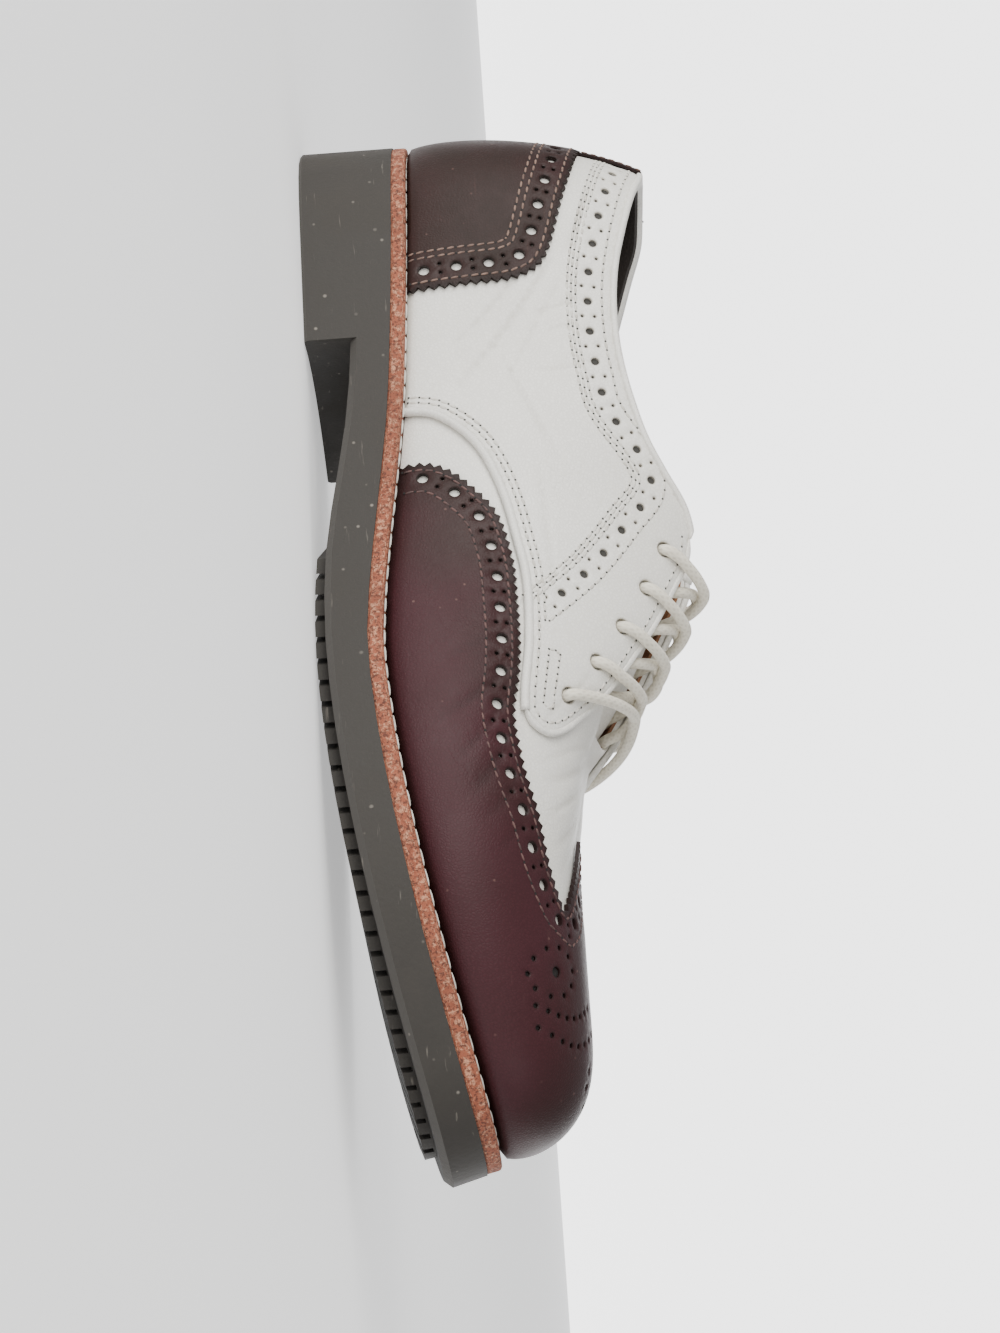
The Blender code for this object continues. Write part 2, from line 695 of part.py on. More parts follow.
def make_heel_foxing(material, parts, cutters):
    """Heel foxing, lapped over both quarters."""
    low = 2 * FIT_GAP + OVERLAY_WALL
    places = np.linspace(0, (TURNS - 1) // 3 / (TURNS - 1), (TURNS - 1) // 3 + 1)
    stations = [(t, -1.0) for t in places[::-1]] + [(t, 1.0) for t in places[1:]]
    form = slab_mesh("heel_foxing", lasted_grid(stations, low + OVERLAY_WALL), lasted_grid(stations, low))
    foxing = new_object("heel_foxing", form, material, parts)
    turn = column(FOXING, FOXING_COLUMNS, "turn")
    up = column(FOXING, FOXING_COLUMNS, "up")
    corner = turn[-1]
    shares = np.linspace(-1, 1, 25)
    rows_turn, rows_up = [], []
    for share in np.linspace(0, 1, 7):
        reach = FOXING_FOOT + (corner - FOXING_FOOT) * share ** 2
        top = spline(turn, up, np.abs(shares) * corner)
        rows_turn.append(shares * reach)
        rows_up.append(-0.12 + (top + 0.12) * share)
    turns, ups = np.array(rows_turn), np.array(rows_up)
    side = np.where(turns < 0, -1.0, 1.0)
    trim = region_mesh("foxing_cutter", np.abs(turns), side * (1 - ups))
    boolean(foxing, trim, "INTERSECT", cutters)
    return foxing


def make_tongue(material, parts):
    """Tongue under the facings, from the vamp up to the collar, its top sunk towards the foot."""
    places = np.linspace(0.458, 0.614, 11)
    half = np.linspace(0.34, 0.26, len(places))
    across = np.linspace(-1, 1, 9)[None, :] * half[:, None]
    turns = np.broadcast_to(places[:, None], across.shape)
    dip = TONGUE_DIP * np.linspace(1, 0, len(places))[:, None] ** 2
    top = -UPPER_WALL - TONGUE_SINK - dip

    def sunk(depth):
        grid = last_points(turns, across)
        normal = last_points(turns, across, MM) - grid
        return grid + normal / MM * depth[..., None]

    mesh = slab_mesh("tongue", sunk(top), sunk(top - TONGUE_WALL))
    return new_object("tongue", mesh, material, parts)


def strand_mesh(name, turns, across, outs):
    """A length of round lace through places over the last, as a closed mesh."""
    steps = np.linspace(0, 1, len(turns))
    fine = np.linspace(0, 1, 7)
    route = [last_points(spline(steps, turns, q), spline(steps, across, q), float(spline(steps, outs, q)))
             for q in fine]
    curve = bpy.data.curves.new(name, "CURVE")
    curve.dimensions = "3D"
    curve.bevel_depth = LACE_WIDTH / 2
    curve.bevel_resolution = 2
    curve.use_fill_caps = True
    line = curve.splines.new("POLY")
    line.points.add(len(route) - 1)
    for point, place in zip(line.points, route):
        point.co = (*place, 1.0)
    carrier = bpy.data.objects.new(name, curve)
    bpy.context.scene.collection.objects.link(carrier)
    bpy.context.view_layer.update()
    mesh = bpy.data.meshes.new_from_object(carrier.evaluated_get(bpy.context.evaluated_depsgraph_get()))
    bpy.data.objects.remove(carrier)
    bm = bmesh.new()
    bm.from_mesh(mesh)
    bmesh.ops.remove_doubles(bm, verts=bm.verts, dist=0.00001)
    bmesh.ops.recalc_face_normals(bm, faces=bm.faces)
    bm.to_mesh(mesh)
    bm.free()
    mesh.materials.clear()
    return mesh


def make_laces(material, parts, cutters):
    """Crossings of the lace over the tongue, one joined X to each pair of eyelets, and the last bar."""
    over = FIT_GAP * 2 + OVERLAY_WALL + LACE_WIDTH / 2
    holes = list(zip(column(EYELETS, EYELET_COLUMNS, "turn"), 1 - column(EYELETS, EYELET_COLUMNS, "up")))
    for k, ((turn, hole), (next_turn, _)) in enumerate(zip(holes[:-1], holes[1:]), 1):
        edge = 1 - float(top_edge(turn, -1.0))
        turns = np.array([turn, turn + 0.3 * (next_turn - turn), (turn + next_turn) / 2, next_turn])
        across = np.array([hole, edge, 0.0, -0.13])
        outs = np.array([over, over + 0.5 * MM, 0.4 * over, 0.2 * over])
        lace = new_object(f"lace_cross_{k}", strand_mesh("strand", turns, -across, outs), material, parts)
        boolean(lace, strand_mesh(f"lace_{k}_cutter", turns, across, outs), "UNION", cutters)
    turn, hole = holes[-1]
    turns = turn + np.array([0.0, 0.009, 0.015, 0.009, 0.0])
    across = hole * np.array([-1.0, -0.6, 0.0, 0.6, 1.0])
    outs = over * np.array([1.0, 1.1, 0.75, 1.1, 1.0])
    new_object("lace_bar", strand_mesh("lace_bar", turns, across, outs), material, parts)


def clear_scene():
    """Remove every object."""
    for obj in list(bpy.data.objects):
        bpy.data.objects.remove(obj, do_unlink=True)


def leather(name, color, roughness):
    """A plain material with a colour and a roughness."""
    material = bpy.data.materials.new(name)
    material.use_nodes = True
    shader = material.node_tree.nodes["Principled BSDF"]
    shader.inputs["Base Color"].default_value = (*color, 1.0)
    shader.inputs["Roughness"].default_value = roughness
    shader.inputs["Metallic"].default_value = 0.0
    return material


def centre_on_floor(parts, cutters):
    """Move every mesh so that the shoe stands on z 0, centred in length and width."""
    bpy.context.view_layer.update()
    graph = bpy.context.evaluated_depsgraph_get()
    corners = []
    for obj in parts.objects:
        mesh = bpy.data.meshes.new_from_object(obj.evaluated_get(graph))
        points = np.empty(len(mesh.vertices) * 3, dtype=np.float32)
        mesh.vertices.foreach_get("co", points)
        corners += [points.reshape(-1, 3).min(axis=0), points.reshape(-1, 3).max(axis=0)]
        bpy.data.meshes.remove(mesh)
    low, high = np.min(corners, axis=0), np.max(corners, axis=0)
    shift = Matrix.Translation((-(low[0] + high[0]) / 2, -(low[1] + high[1]) / 2, -low[2]))
    for obj in list(parts.objects) + list(cutters.objects):
        obj.data.transform(shift)
        obj.data.update()
    bpy.context.view_layer.update()


def main():
    """Build the shoe."""
    clear_scene()
    parts = bpy.data.collections.new("derby_shoe")
    cutters = bpy.data.collections.new("cutters")
    for group in (parts, cutters):
        bpy.context.scene.collection.children.link(group)
    rubber = leather("rubber", (0.10, 0.095, 0.09), 0.75)
    russet = leather("russet_leather", (0.45, 0.14, 0.07), 0.6)
    lining = leather("lining_leather", (0.42, 0.24, 0.12), 0.6)
    white = leather("white_leather", (0.78, 0.76, 0.72), 0.45)
    oxblood = leather("oxblood_leather", (0.09, 0.03, 0.035), 0.4)
    cotton = leather("cotton_lace", (0.75, 0.71, 0.62), 0.85)
    make_outsole(rubber, parts, cutters)
    make_midsole(russet, parts)
    make_insole(lining, parts)
    make_upper(white, parts)
    make_quarter("quarter_inner", -1.0, white, parts, cutters)
    make_quarter("quarter_outer", 1.0, white, parts, cutters)
    make_wing_cap(oxblood, parts, cutters)
    make_heel_foxing(oxblood, parts, cutters)
    make_tongue(white, parts)
    make_laces(cotton, parts, cutters)
    centre_on_floor(parts, cutters)


main()
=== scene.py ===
"""Looks of a full-brogue derby shoe in two leathers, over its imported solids.

The upper is one lasted surface. Every panel, seam, hole and crease is a place on that surface, given
as turn (0 at the heel, 1 at the toe) and across (-1 at the inner welt, 0 on the ridge, 1 at the outer
welt). Lengths are metres.
"""

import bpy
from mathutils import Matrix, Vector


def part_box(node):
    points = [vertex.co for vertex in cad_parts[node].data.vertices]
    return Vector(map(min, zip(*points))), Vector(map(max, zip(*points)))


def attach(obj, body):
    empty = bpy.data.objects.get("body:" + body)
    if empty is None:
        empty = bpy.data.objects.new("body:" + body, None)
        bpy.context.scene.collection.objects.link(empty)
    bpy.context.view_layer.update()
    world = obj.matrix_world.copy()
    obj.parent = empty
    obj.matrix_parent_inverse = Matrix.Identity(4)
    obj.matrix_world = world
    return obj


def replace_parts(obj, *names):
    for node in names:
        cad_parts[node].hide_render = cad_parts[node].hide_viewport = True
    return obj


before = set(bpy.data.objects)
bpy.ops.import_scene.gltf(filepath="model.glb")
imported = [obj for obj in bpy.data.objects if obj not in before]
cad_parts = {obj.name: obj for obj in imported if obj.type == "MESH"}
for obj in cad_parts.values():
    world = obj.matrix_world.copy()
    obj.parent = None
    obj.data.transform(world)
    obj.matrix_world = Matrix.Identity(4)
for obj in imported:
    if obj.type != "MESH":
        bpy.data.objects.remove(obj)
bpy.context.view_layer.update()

import logging
from dataclasses import dataclass, field
from enum import Enum

import bmesh
import bpy
import numpy as np
from mathutils import Matrix, Vector
from mathutils.geometry import delaunay_2d_cdt

Array = np.ndarray
Material = bpy.types.Material
Socket = bpy.types.NodeSocket
SceneObject = bpy.types.Object
MM = 0.001
PROBE = 0.004
STEP = 1.2 * MM
FULL_FOLD = 0.5 * MM
# lift of the dark discs of painted shade under punched holes
HOLE_SHADE_LIFT = 0.75 * MM
LOG = logging.getLogger("spectator_shoe")


class Side(Enum):
    """Side of the foot, as the sign of across and of y."""

    INNER = -1.0
    OUTER = 1.0


class Slot(Enum):
    """Material slots."""

    RUBBER = "rubber"
    WELT = "welt_leather"
    LINING = "lining_leather"
    WHITE = "white_leather"
    OXBLOOD = "oxblood_leather"
    COTTON = "cotton"


def smooth_read(xs: Array, ys: Array, x: Array) -> Array:
    """Cubic curve through points, with slopes from their neighbours.

    Args:
        xs: rising places of the points.
        ys: values of the points.
        x: places to read.

    Returns:
        The values at x.
    """
    xs, ys = np.asarray(xs, dtype=float), np.asarray(ys, dtype=float)
    x = np.clip(np.asarray(x, dtype=float), xs[0], xs[-1])
    slope = np.gradient(ys, xs)
    i = np.clip(np.searchsorted(xs, x, side="right") - 1, 0, len(xs) - 2)
    step = xs[i + 1] - xs[i]
    t = (x - xs[i]) / step
    rise = ys[i] * (2 * t ** 3 - 3 * t ** 2 + 1) + ys[i + 1] * (3 * t ** 2 - 2 * t ** 3)
    return rise + step * (slope[i] * (t ** 3 - 2 * t ** 2 + t) + slope[i + 1] * (t ** 3 - t ** 2))


def smooth_route(points: Array, count: int) -> Array:
    """Cubic route through points of any dimension, spread evenly by index.

    Args:
        points: one row for each point.
        count: how many points to return.

    Returns:
        The route's points.
    """
    points = np.asarray(points, dtype=float)
    steps = np.arange(len(points), dtype=float)
    fine = np.linspace(0, len(points) - 1, count)
    return np.stack([smooth_read(steps, points[:, k], fine) for k in range(points.shape[1])], axis=-1)


def joined(*columns: Array) -> Array:
    """Rows made from columns, each an array or one number for every row."""
    return np.stack(np.broadcast_arrays(*columns), axis=-1)


def unit(vectors: Array) -> Array:
    """Vectors of length 1 in the same directions."""
    return vectors / np.linalg.norm(vectors, axis=-1, keepdims=True)


def run_along(points: Array) -> Array:
    """Distance of each point of a route from its first, along the route."""
    return np.append(0, np.cumsum(np.linalg.norm(np.diff(points, axis=0), axis=1)))


def read_route(rows: Array, run: Array, places: Array) -> Array:
    """Every column of a route's rows, read at places of its run."""
    return np.stack([np.interp(places, run, column) for column in rows.T], axis=-1)


def rings(one: Array, two: Array, sides: int) -> Array:
    """Circles spanned by pairs of directions: a grid of pairs by points round each."""
    angle = np.linspace(0, 2 * np.pi, sides, endpoint=False)
    return np.cos(angle)[:, None] * one[:, None, :] + np.sin(angle)[:, None] * two[:, None, :]


@dataclass
class Last:
    """The shoe's main shape: sole outline, heights and the lasted surface of the upper."""

    length: float = 300 * MM
    ball_width: float = 103.5 * MM
    heel_width: float = 69 * MM
    toe_swing: float = 2 * MM
    heel_stack: float = 26 * MM
    ball_stack: float = 13.4 * MM
    breast_height: float = 12.4 * MM
    toe_spring: float = 21 * MM
    tread_depth: float = 3 * MM
    welt_thick: float = 3.8 * MM
    gap: float = 0.3 * MM
    heel_reveal: float = 5.6 * MM
    ball_reveal: float = 8.0 * MM
    heel_swell: float = 3.2 * MM
    side_swell: float = 3.0 * MM
    toe_swell: float = 3.6 * MM
    swell_peak: float = 0.25
    instep_height: float = 103 * MM
    toe_height: float = 61.3 * MM
    cone_height: float = 113 * MM
    back_height: float = 94 * MM
    collar_height: float = 83 * MM
    collar_drop: float = 3 * MM
    front_height: float = 98.5 * MM
    heel_pole: float = 0.13
    toe_pole: float = 0.87
    shift: Array = field(default_factory=lambda: np.zeros(3))

    # along, heel, inner ball, outer ball
    outline: tuple = (
        (0.000, 0.000, 0.000, 0.000), (0.025, 0.614, 0.000, 0.000), (0.055, 0.845, 0.000, 0.002),
        (0.100, 0.970, 0.000, 0.006), (0.160, 0.985, 0.006, 0.018), (0.250, 0.900, 0.070, 0.100),
        (0.340, 0.600, 0.285, 0.345), (0.420, 0.300, 0.525, 0.630), (0.500, 0.100, 0.738, 0.862),
        (0.580, 0.000, 0.893, 1.010), (0.650, 0.000, 0.946, 1.042), (0.720, 0.000, 0.958, 1.010),
        (0.790, 0.000, 0.920, 0.925), (0.860, 0.000, 0.812, 0.794), (0.910, 0.000, 0.692, 0.667),
        (0.950, 0.000, 0.568, 0.539), (0.980, 0.000, 0.385, 0.364), (1.000, 0.000, 0.000, 0.000),
    )
    # along, deck, under
    waist: tuple = (
        (0.00, 1.00, 1.00), (0.12, 0.92, 1.00), (0.25, 0.76, 1.00), (0.33, 0.62, 0.78),
        (0.40, 0.42, 0.42), (0.46, 0.24, 0.12), (0.52, 0.09, 0.00), (0.58, 0.01, 0.00),
        (0.64, 0.00, 0.00), (1.00, 0.00, 0.00),
    )
    # along, cone, instep, toe, shift
    ridge: tuple = (
        (0.10, 1.00, 0.00, 0.000, 0.00), (0.25, 1.00, 0.00, 0.000, 0.00),
        (0.33, 0.85, 0.15, 0.000, -0.01), (0.40, 0.40, 0.61, 0.000, -0.02),
        (0.45, 0.00, 1.00, 0.000, -0.03), (0.50, 0.00, 0.925, 0.000, -0.04),
        (0.54, 0.00, 0.838, 0.030, -0.05), (0.58, 0.00, 0.560, 0.355, -0.06),
        (0.61, 0.00, 0.270, 0.695, -0.07), (0.64, 0.00, 0.100, 0.920, -0.07),
        (0.68, 0.00, 0.020, 1.018, -0.06), (0.72, 0.00, 0.000, 1.008, -0.05),
        (0.80, 0.00, 0.000, 1.000, -0.02), (0.89, 0.00, 0.000, 1.000, 0.02),
    )
    # along, fullness, heel swell, side swell, toe swell, reveal
    sections: tuple = (
        (0.00, 2.35, 1.00, 0.00, 0.00, 0.00), (0.06, 2.35, 0.70, 0.20, 0.00, 0.00),
        (0.20, 2.30, 0.00, 0.50, 0.00, 0.00), (0.36, 2.00, 0.00, 0.60, 0.00, 0.20),
        (0.48, 1.80, 0.00, 0.80, 0.00, 0.60), (0.60, 1.95, 0.00, 1.00, 0.00, 1.00),
        (0.72, 2.30, 0.00, 1.00, 0.00, 1.00), (0.86, 2.70, 0.00, 0.60, 0.40, 1.00),
        (0.95, 3.00, 0.00, 0.10, 0.90, 1.00), (1.00, 3.10, 0.00, 0.00, 1.00, 1.00),
    )
    # turn, back, collar, front
    collar: tuple = (
        (0.000, 1.00, 0.00, 0.00), (0.070, 0.97, 0.03, 0.00), (0.120, 0.91, 0.09, 0.00),
        (0.170, 0.68, 0.32, 0.00), (0.223, 0.39, 0.61, 0.00), (0.273, 0.09, 0.91, 0.00),
        (0.302, 0.00, 1.00, 0.00), (0.340, 0.00, 0.98, 0.02), (0.375, 0.00, 0.82, 0.18),
        (0.400, 0.00, 0.62, 0.38), (0.417, 0.00, 0.39, 0.61), (0.435, 0.00, 0.11, 0.89),
        (0.455, 0.00, 0.00, 1.00),
    )
    # turn, up
    throat: tuple = (
        (0.455, 0.765), (0.473, 0.792), (0.500, 0.780), (0.540, 0.752), (0.568, 0.718),
        (0.588, 0.850), (0.600, 1.000),
    )

    def settle(self, sole_box: tuple) -> None:
        """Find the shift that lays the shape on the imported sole.

        Args:
            sole_box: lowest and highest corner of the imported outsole.
        """
        _, y = self.plan(np.linspace(0, 1, 401), np.full(401, -1.0))
        self.shift = np.array([sole_box[0][0], sole_box[0][1] - y.min(), 0.0])

    @staticmethod
    def table(rows: tuple, k: int, x: Array, round_ends: bool = False) -> Array:
        """Column k of a table read at x, by way of the turn where the ends are round."""
        data = np.array(rows)
        if round_ends:
            turns = np.arccos(1 - 2 * data[:, 0]) / np.pi
            return smooth_read(turns, data[:, k], np.arccos(1 - 2 * np.clip(x, 0, 1)) / np.pi)
        return smooth_read(data[:, 0], data[:, k], x)

    @staticmethod
    def along(turn: Array) -> Array:
        """Share of the length for a turn: half of one less the cosine of turn times pi."""
        return (1 - np.cos(np.pi * np.asarray(turn, dtype=float))) / 2

    @staticmethod
    def folded(turn: Array, across: Array) -> tuple:
        """Turn and across of places past the heel or the toe, which lie on the other side."""
        beyond = (turn < 0) | (turn > 1)
        inside = np.where(turn < 0, -turn, np.where(turn > 1, 2 - turn, turn))
        return inside, np.where(beyond, -across, across)

    def toe_rise(self, x: Array) -> Array:
        """Toe spring at x: a power of the share of the way from the resting spot to the toe."""
        share = np.clip((x / self.length - 0.56) / 0.44, 0, 1.1)
        return self.toe_spring * share ** 1.6

    def toe_slope(self, x: Array) -> Array:
        """Slope of the toe spring at x."""
        d = PROBE * self.length
        return (self.toe_rise(x + d) - self.toe_rise(x - d)) / (2 * d)

    def underside(self, x: Array) -> Array:
        """Height of the rubber's underside in front of the heel."""
        left = self.table(self.waist, 2, x / self.length)
        return self.tread_depth + (self.breast_height - self.tread_depth) * left + self.toe_rise(x)

    def deck(self, x: Array) -> Array:
        """Height of the rubber's upper face."""
        left = self.table(self.waist, 1, x / self.length)
        return self.ball_stack + (self.heel_stack - self.ball_stack) * left + self.toe_rise(x)

    def leaned(self, x: Array, lift: Array) -> Array:
        """x of a point lifted off the underside, which leans back where the toe springs."""
        slope = self.toe_slope(x)
        return x - lift * slope / (1 + slope ** 2)

    def reveal(self, along: Array) -> Array:
        """How far inside the sole's outline the upper starts."""
        share = self.table(self.sections, 5, along)
        return self.heel_reveal + (self.ball_reveal - self.heel_reveal) * share

    def plan(self, turn: Array, side: Array, inset: Array = 0.0) -> tuple:
        """Sole outline seen from above, moved inwards by inset.

        Args:
            turn: places round the sole.
            side: -1 on the inner side and 1 on the outer side.
            inset: distance inwards.

        Returns:
            Arrays of x and y, before the shift.
        """

        def edge(t: Array) -> tuple:
            inside, flip = self.folded(t, side)
            along = self.along(inside)
            heel, inner, outer = (self.table(self.outline, k, along, True) for k in (1, 2, 3))
            ball = np.where(flip < 0, inner, outer) * self.ball_width / 2
            y = self.toe_swing * along ** 3 + flip * (heel * self.heel_width / 2 + ball)
            return along * self.length, y

        turn = np.asarray(turn, dtype=float)
        x, y = edge(turn)
        (x2, y2), (x1, y1) = edge(turn + PROBE), edge(turn - PROBE)
        size = np.hypot(x2 - x1, y2 - y1)
        return x + side * inset * (y2 - y1) / size, y - side * inset * (x2 - x1) / size

    def bare(self, turn: Array, across: Array) -> Array:
        """Points of the lasted surface itself, before the shift.

        Each section is a quarter of a rounded square from the welt to the ridge, whose height and run
        are powers of a sine and a cosine, with a swell low on its wall.

        Args:
            turn: places round the shoe.
            across: places across it.

        Returns:
            An array of x, y and z.
        """
        t, a = self.folded(turn, across)
        side = np.where(a < 0, -1.0, 1.0)
        up = np.clip(1 - np.abs(a), 0, 1)
        along = self.along(t)
        reveal = self.reveal(along)
        swells = (self.heel_swell, self.side_swell, self.toe_swell)
        swell = sum(size * self.table(self.sections, k, along) for k, size in enumerate(swells, 2))
        fullness = self.table(self.sections, 1, along)
        foot_x, foot_y = self.plan(t, side, reveal)
        out_x, out_y = self.plan(t, side, reveal - 1 * MM)
        foot_z = self.deck(foot_x) + self.welt_thick + 2 * self.gap
        lean = self.leaned(foot_x, foot_z - self.underside(foot_x)) - foot_x
        top_along = self.heel_pole + (self.toe_pole - self.heel_pole) * along
        top_x = top_along * self.length
        top_y = self.table(self.ridge, 4, top_along) * self.ball_width / 2
        peaks = (self.cone_height, self.instep_height, self.toe_height)
        top_z = sum(size * self.table(self.ridge, k, top_along) for k, size in enumerate(peaks, 1))
        angle = up * np.pi / 2
        rise = np.sin(angle) ** (2 / fullness)
        run = 1 - np.cos(angle) ** (2 / fullness)
        puff = swell * np.sin(np.pi * rise ** (np.log(0.5) / np.log(self.swell_peak)))
        x = foot_x + lean + (top_x - foot_x - lean) * run + (out_x - foot_x) / MM * puff
        y = foot_y + (top_y - foot_y) * run + (out_y - foot_y) / MM * puff
        z = foot_z + (top_z - foot_z) * rise + np.minimum(1 - np.abs(a), 0) * self.instep_height
        return joined(x, y, z)

    def tangents(self, turn: Array, across: Array) -> tuple:
        """Change of the surface per unit of turn and of across, and its unit normal.

        Args:
            turn: places round the shoe.
            across: places across it.

        Returns:
            Three arrays of x, y and z.
        """
        near_ridge = np.abs(across) < 0.02
        calm = np.where(near_ridge, np.clip(turn, 0.03, 0.97), turn)
        held = np.clip(across, -1 + PROBE, 1 - PROBE)
        du = (self.bare(calm + PROBE, held) - self.bare(calm - PROBE, held)) / (2 * PROBE)
        dv = (self.bare(calm, held + PROBE) - self.bare(calm, held - PROBE)) / (2 * PROBE)
        normal = np.cross(du, dv)
        slope = self.toe_slope(self.bare(turn, across)[..., 0]) * normal[..., 0]
        normal[..., 2] = np.where(np.abs(across) > 1 - PROBE, slope, normal[..., 2])
        return du, dv, unit(normal)

    def skin(self, turn: Array, across: Array, out: Array = 0.0) -> Array:
        """Points of the lasted surface in the scene, moved off it by out."""
        turn, across = np.broadcast_arrays(np.asarray(turn, dtype=float), np.asarray(across, dtype=float))
        points = self.bare(turn, across)
        out = np.broadcast_to(np.asarray(out, dtype=float), turn.shape)
        return points + self.tangents(turn, across)[2] * out[..., None] + self.shift

    def discs(self, places: Array, out: float, radius: float, sides: int) -> tuple:
        """Points and faces of small discs that lie on the surface, moved off it by out."""
        points = self.skin(*places.T, out)[:, None, :] + radius * self.loops(places, sides)
        return points.reshape(-1, 3), np.arange(len(places) * sides).reshape(-1, sides)

    def loops(self, places: Array, sides: int) -> Array:
        """Steps round a unit circle in the surface at each place."""
        du, _, normal = self.tangents(*places.T)
        one = unit(du)
        return rings(one, np.cross(normal, one), sides)

    def walk(self, place: Array, step: Array) -> Array:
        """Places on the surface a step away from others.

        The step is followed by solving for the turn and across whose point is nearest to the target,
        with a few rounds of least squares.

        Args:
            place: rows of turn and across.
            step: rows of x, y and z to move by.

        Returns:
            Rows of turn and across.
        """
        here = np.array(place, dtype=float)
        target = self.bare(*here.T) + step
        for _ in range(5):
            du, dv, _ = self.tangents(*here.T)
            miss = target - self.bare(*here.T)
            a, b, c = (du * du).sum(-1), (du * dv).sum(-1), (dv * dv).sum(-1)
            p, q = (miss * du).sum(-1), (miss * dv).sum(-1)
            det = np.maximum(a * c - b * b, 1e-14)
            move = joined((c * p - b * q) / det, (a * q - b * p) / det)
            here += np.clip(move, -0.05, 0.05)
        return here

    def flat(self, place: Array) -> Array:
        """The surface laid flat: each section runs outwards from its ridge point by its own length."""
        t, a = self.folded(*place.T)
        top = self.bare(t, np.zeros_like(a))
        foot = self.bare(t, np.where(a < 0, -1.0, 1.0))
        spots = [top] + [self.bare(t, a * k / 10) for k in range(1, 11)]
        reach = sum(np.linalg.norm(b - c, axis=-1, keepdims=True) for b, c in zip(spots[1:], spots[:-1]))
        return top[:, :2] + unit(foot[:, :2] - top[:, :2]) * reach

    def up_at_height(self, turn: Array, side: float, height: Array) -> Array:
        """How far up its section the surface passes a height."""
        foot = self.bare(turn, np.full_like(turn, side))[..., 2]
        top = self.bare(turn, np.zeros_like(turn))[..., 2]
        fullness = self.table(self.sections, 1, self.along(turn))
        rise = np.clip((height - foot) / (top - foot), 0, 1)
        return np.arcsin(rise ** (fullness / 2)) * 2 / np.pi

    def top_edge(self, turn: Array, side: float) -> Array:
        """How far up the wall goes: along the collar, then the throat, then the closed vamp."""
        turn = np.asarray(turn, dtype=float)
        low = self.collar_height - (self.collar_drop if side > 0 else 0.0)
        height = sum(size * self.table(self.collar, k, turn)
                     for k, size in ((1, self.back_height), (2, low), (3, self.front_height)))
        throat = np.clip(self.table(self.throat, 1, turn), 0, 1)
        at_collar = np.minimum(self.up_at_height(turn, side, height), self.throat[0][1])
        return np.where(turn < self.throat[0][0], at_collar, throat)

    def rim_up(self, turns: Array, side: Array) -> Array:
        """How far up the wall goes at turns on sides."""
        return np.where(side < 0, self.top_edge(turns, -1.0), self.top_edge(turns, 1.0))

    def even(self, places: Array, pitch: float = STEP, closed: bool = False) -> Array:
        """Resample a curve on the surface so that its points lie a pitch apart.

        Args:
            places: rows of turn and across.
            pitch: distance wanted along the surface.
            closed: whether the last point joins the first.

        Returns:
            Rows of turn and across.
        """
        if closed:
            places = np.vstack([places, places[:1]])
        run = run_along(self.bare(*places.T))
        count = max(int(round(run[-1] / pitch)), 2)
        want = np.linspace(0, run[-1], count + 1)
        return read_route(places, run, want[:-1] if closed else want)

    def course(self, places: Array) -> tuple:
        """Points of a curve on the surface, the surface's normal there and the way to the curve's left."""
        points = self.bare(*places.T)
        normal = self.tangents(*places.T)[2]
        return points, normal, np.cross(normal, unit(np.gradient(points, axis=0)))

    def beside(self, places: Array, distance: float, tidy: bool = True) -> Array:
        """The curve that runs beside another at a distance, to the left of its direction.

        Args:
            places: rows of turn and across, evenly spaced.
            distance: how far to the left, seen from outside.
            tidy: whether to drop points that fall too near the first curve.

        Returns:
            Rows of turn and across.
        """
        points, _, left = self.course(places)
        new = self.walk(places, left * distance)
        if not tidy:
            return new
        near = np.linalg.norm(self.bare(*new.T)[:, None, :] - points[None, :, :], axis=-1).min(axis=1)
        return new[near > abs(distance) * 0.96]


def new_object(name: str, data: bpy.types.ID) -> SceneObject:
    """Add an object to the scene."""
    obj = bpy.data.objects.new(name, data)
    bpy.context.scene.collection.objects.link(obj)
    return obj


def mesh_object(name: str, points: Array, faces: list, material: Material, slot: Slot,
                sharp: float = 40.0, uv: Array = None) -> SceneObject:
    """Make an object that rides on the shoe.

    Args:
        name: the piece's name.
        points: rows of x, y and z in the scene.
        faces: lists or arrays of point indices.
        material: its finish.
        slot: not used.
        sharp: angle in degrees past which an edge is drawn sharp.
        uv: a length along and a share round for each point, for the finishes that follow the piece.

    Returns:
        The object.
    """
    mesh = bpy.data.meshes.new(name)
    mesh.from_pydata(np.asarray(points, dtype=float).tolist(), [], [list(map(int, f)) for f in faces])
    mesh.shade_smooth()
    mesh.set_sharp_from_angle(angle=np.radians(sharp))
    mesh.materials.append(material)
    if uv is not None:
        corner = np.empty(len(mesh.loops), dtype=np.int32)
        mesh.loops.foreach_get("vertex_index", corner)
        layer = mesh.uv_layers.new(name="UVMap")
        layer.data.foreach_set("uv", np.asarray(uv, dtype=np.float32)[corner].ravel())
    obj = new_object(name, mesh)
    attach(obj, "root")
    LOG.info("%s: %d faces", name, len(mesh.polygons))
    return obj


def fix_normals(obj: SceneObject) -> SceneObject:
    """Merge a closed piece's doubled points and turn its faces outwards."""
    work = bmesh.new()
    work.from_mesh(obj.data)
    bmesh.ops.remove_doubles(work, verts=work.verts, dist=1e-7)
    bmesh.ops.recalc_face_normals(work, faces=work.faces)
    work.to_mesh(obj.data)
    work.free()
    return obj


def whole(tris: Array) -> Array:
    """The triangles that have three different corners."""
    return tris[(tris != np.roll(tris, 1, axis=1)).all(axis=1)]


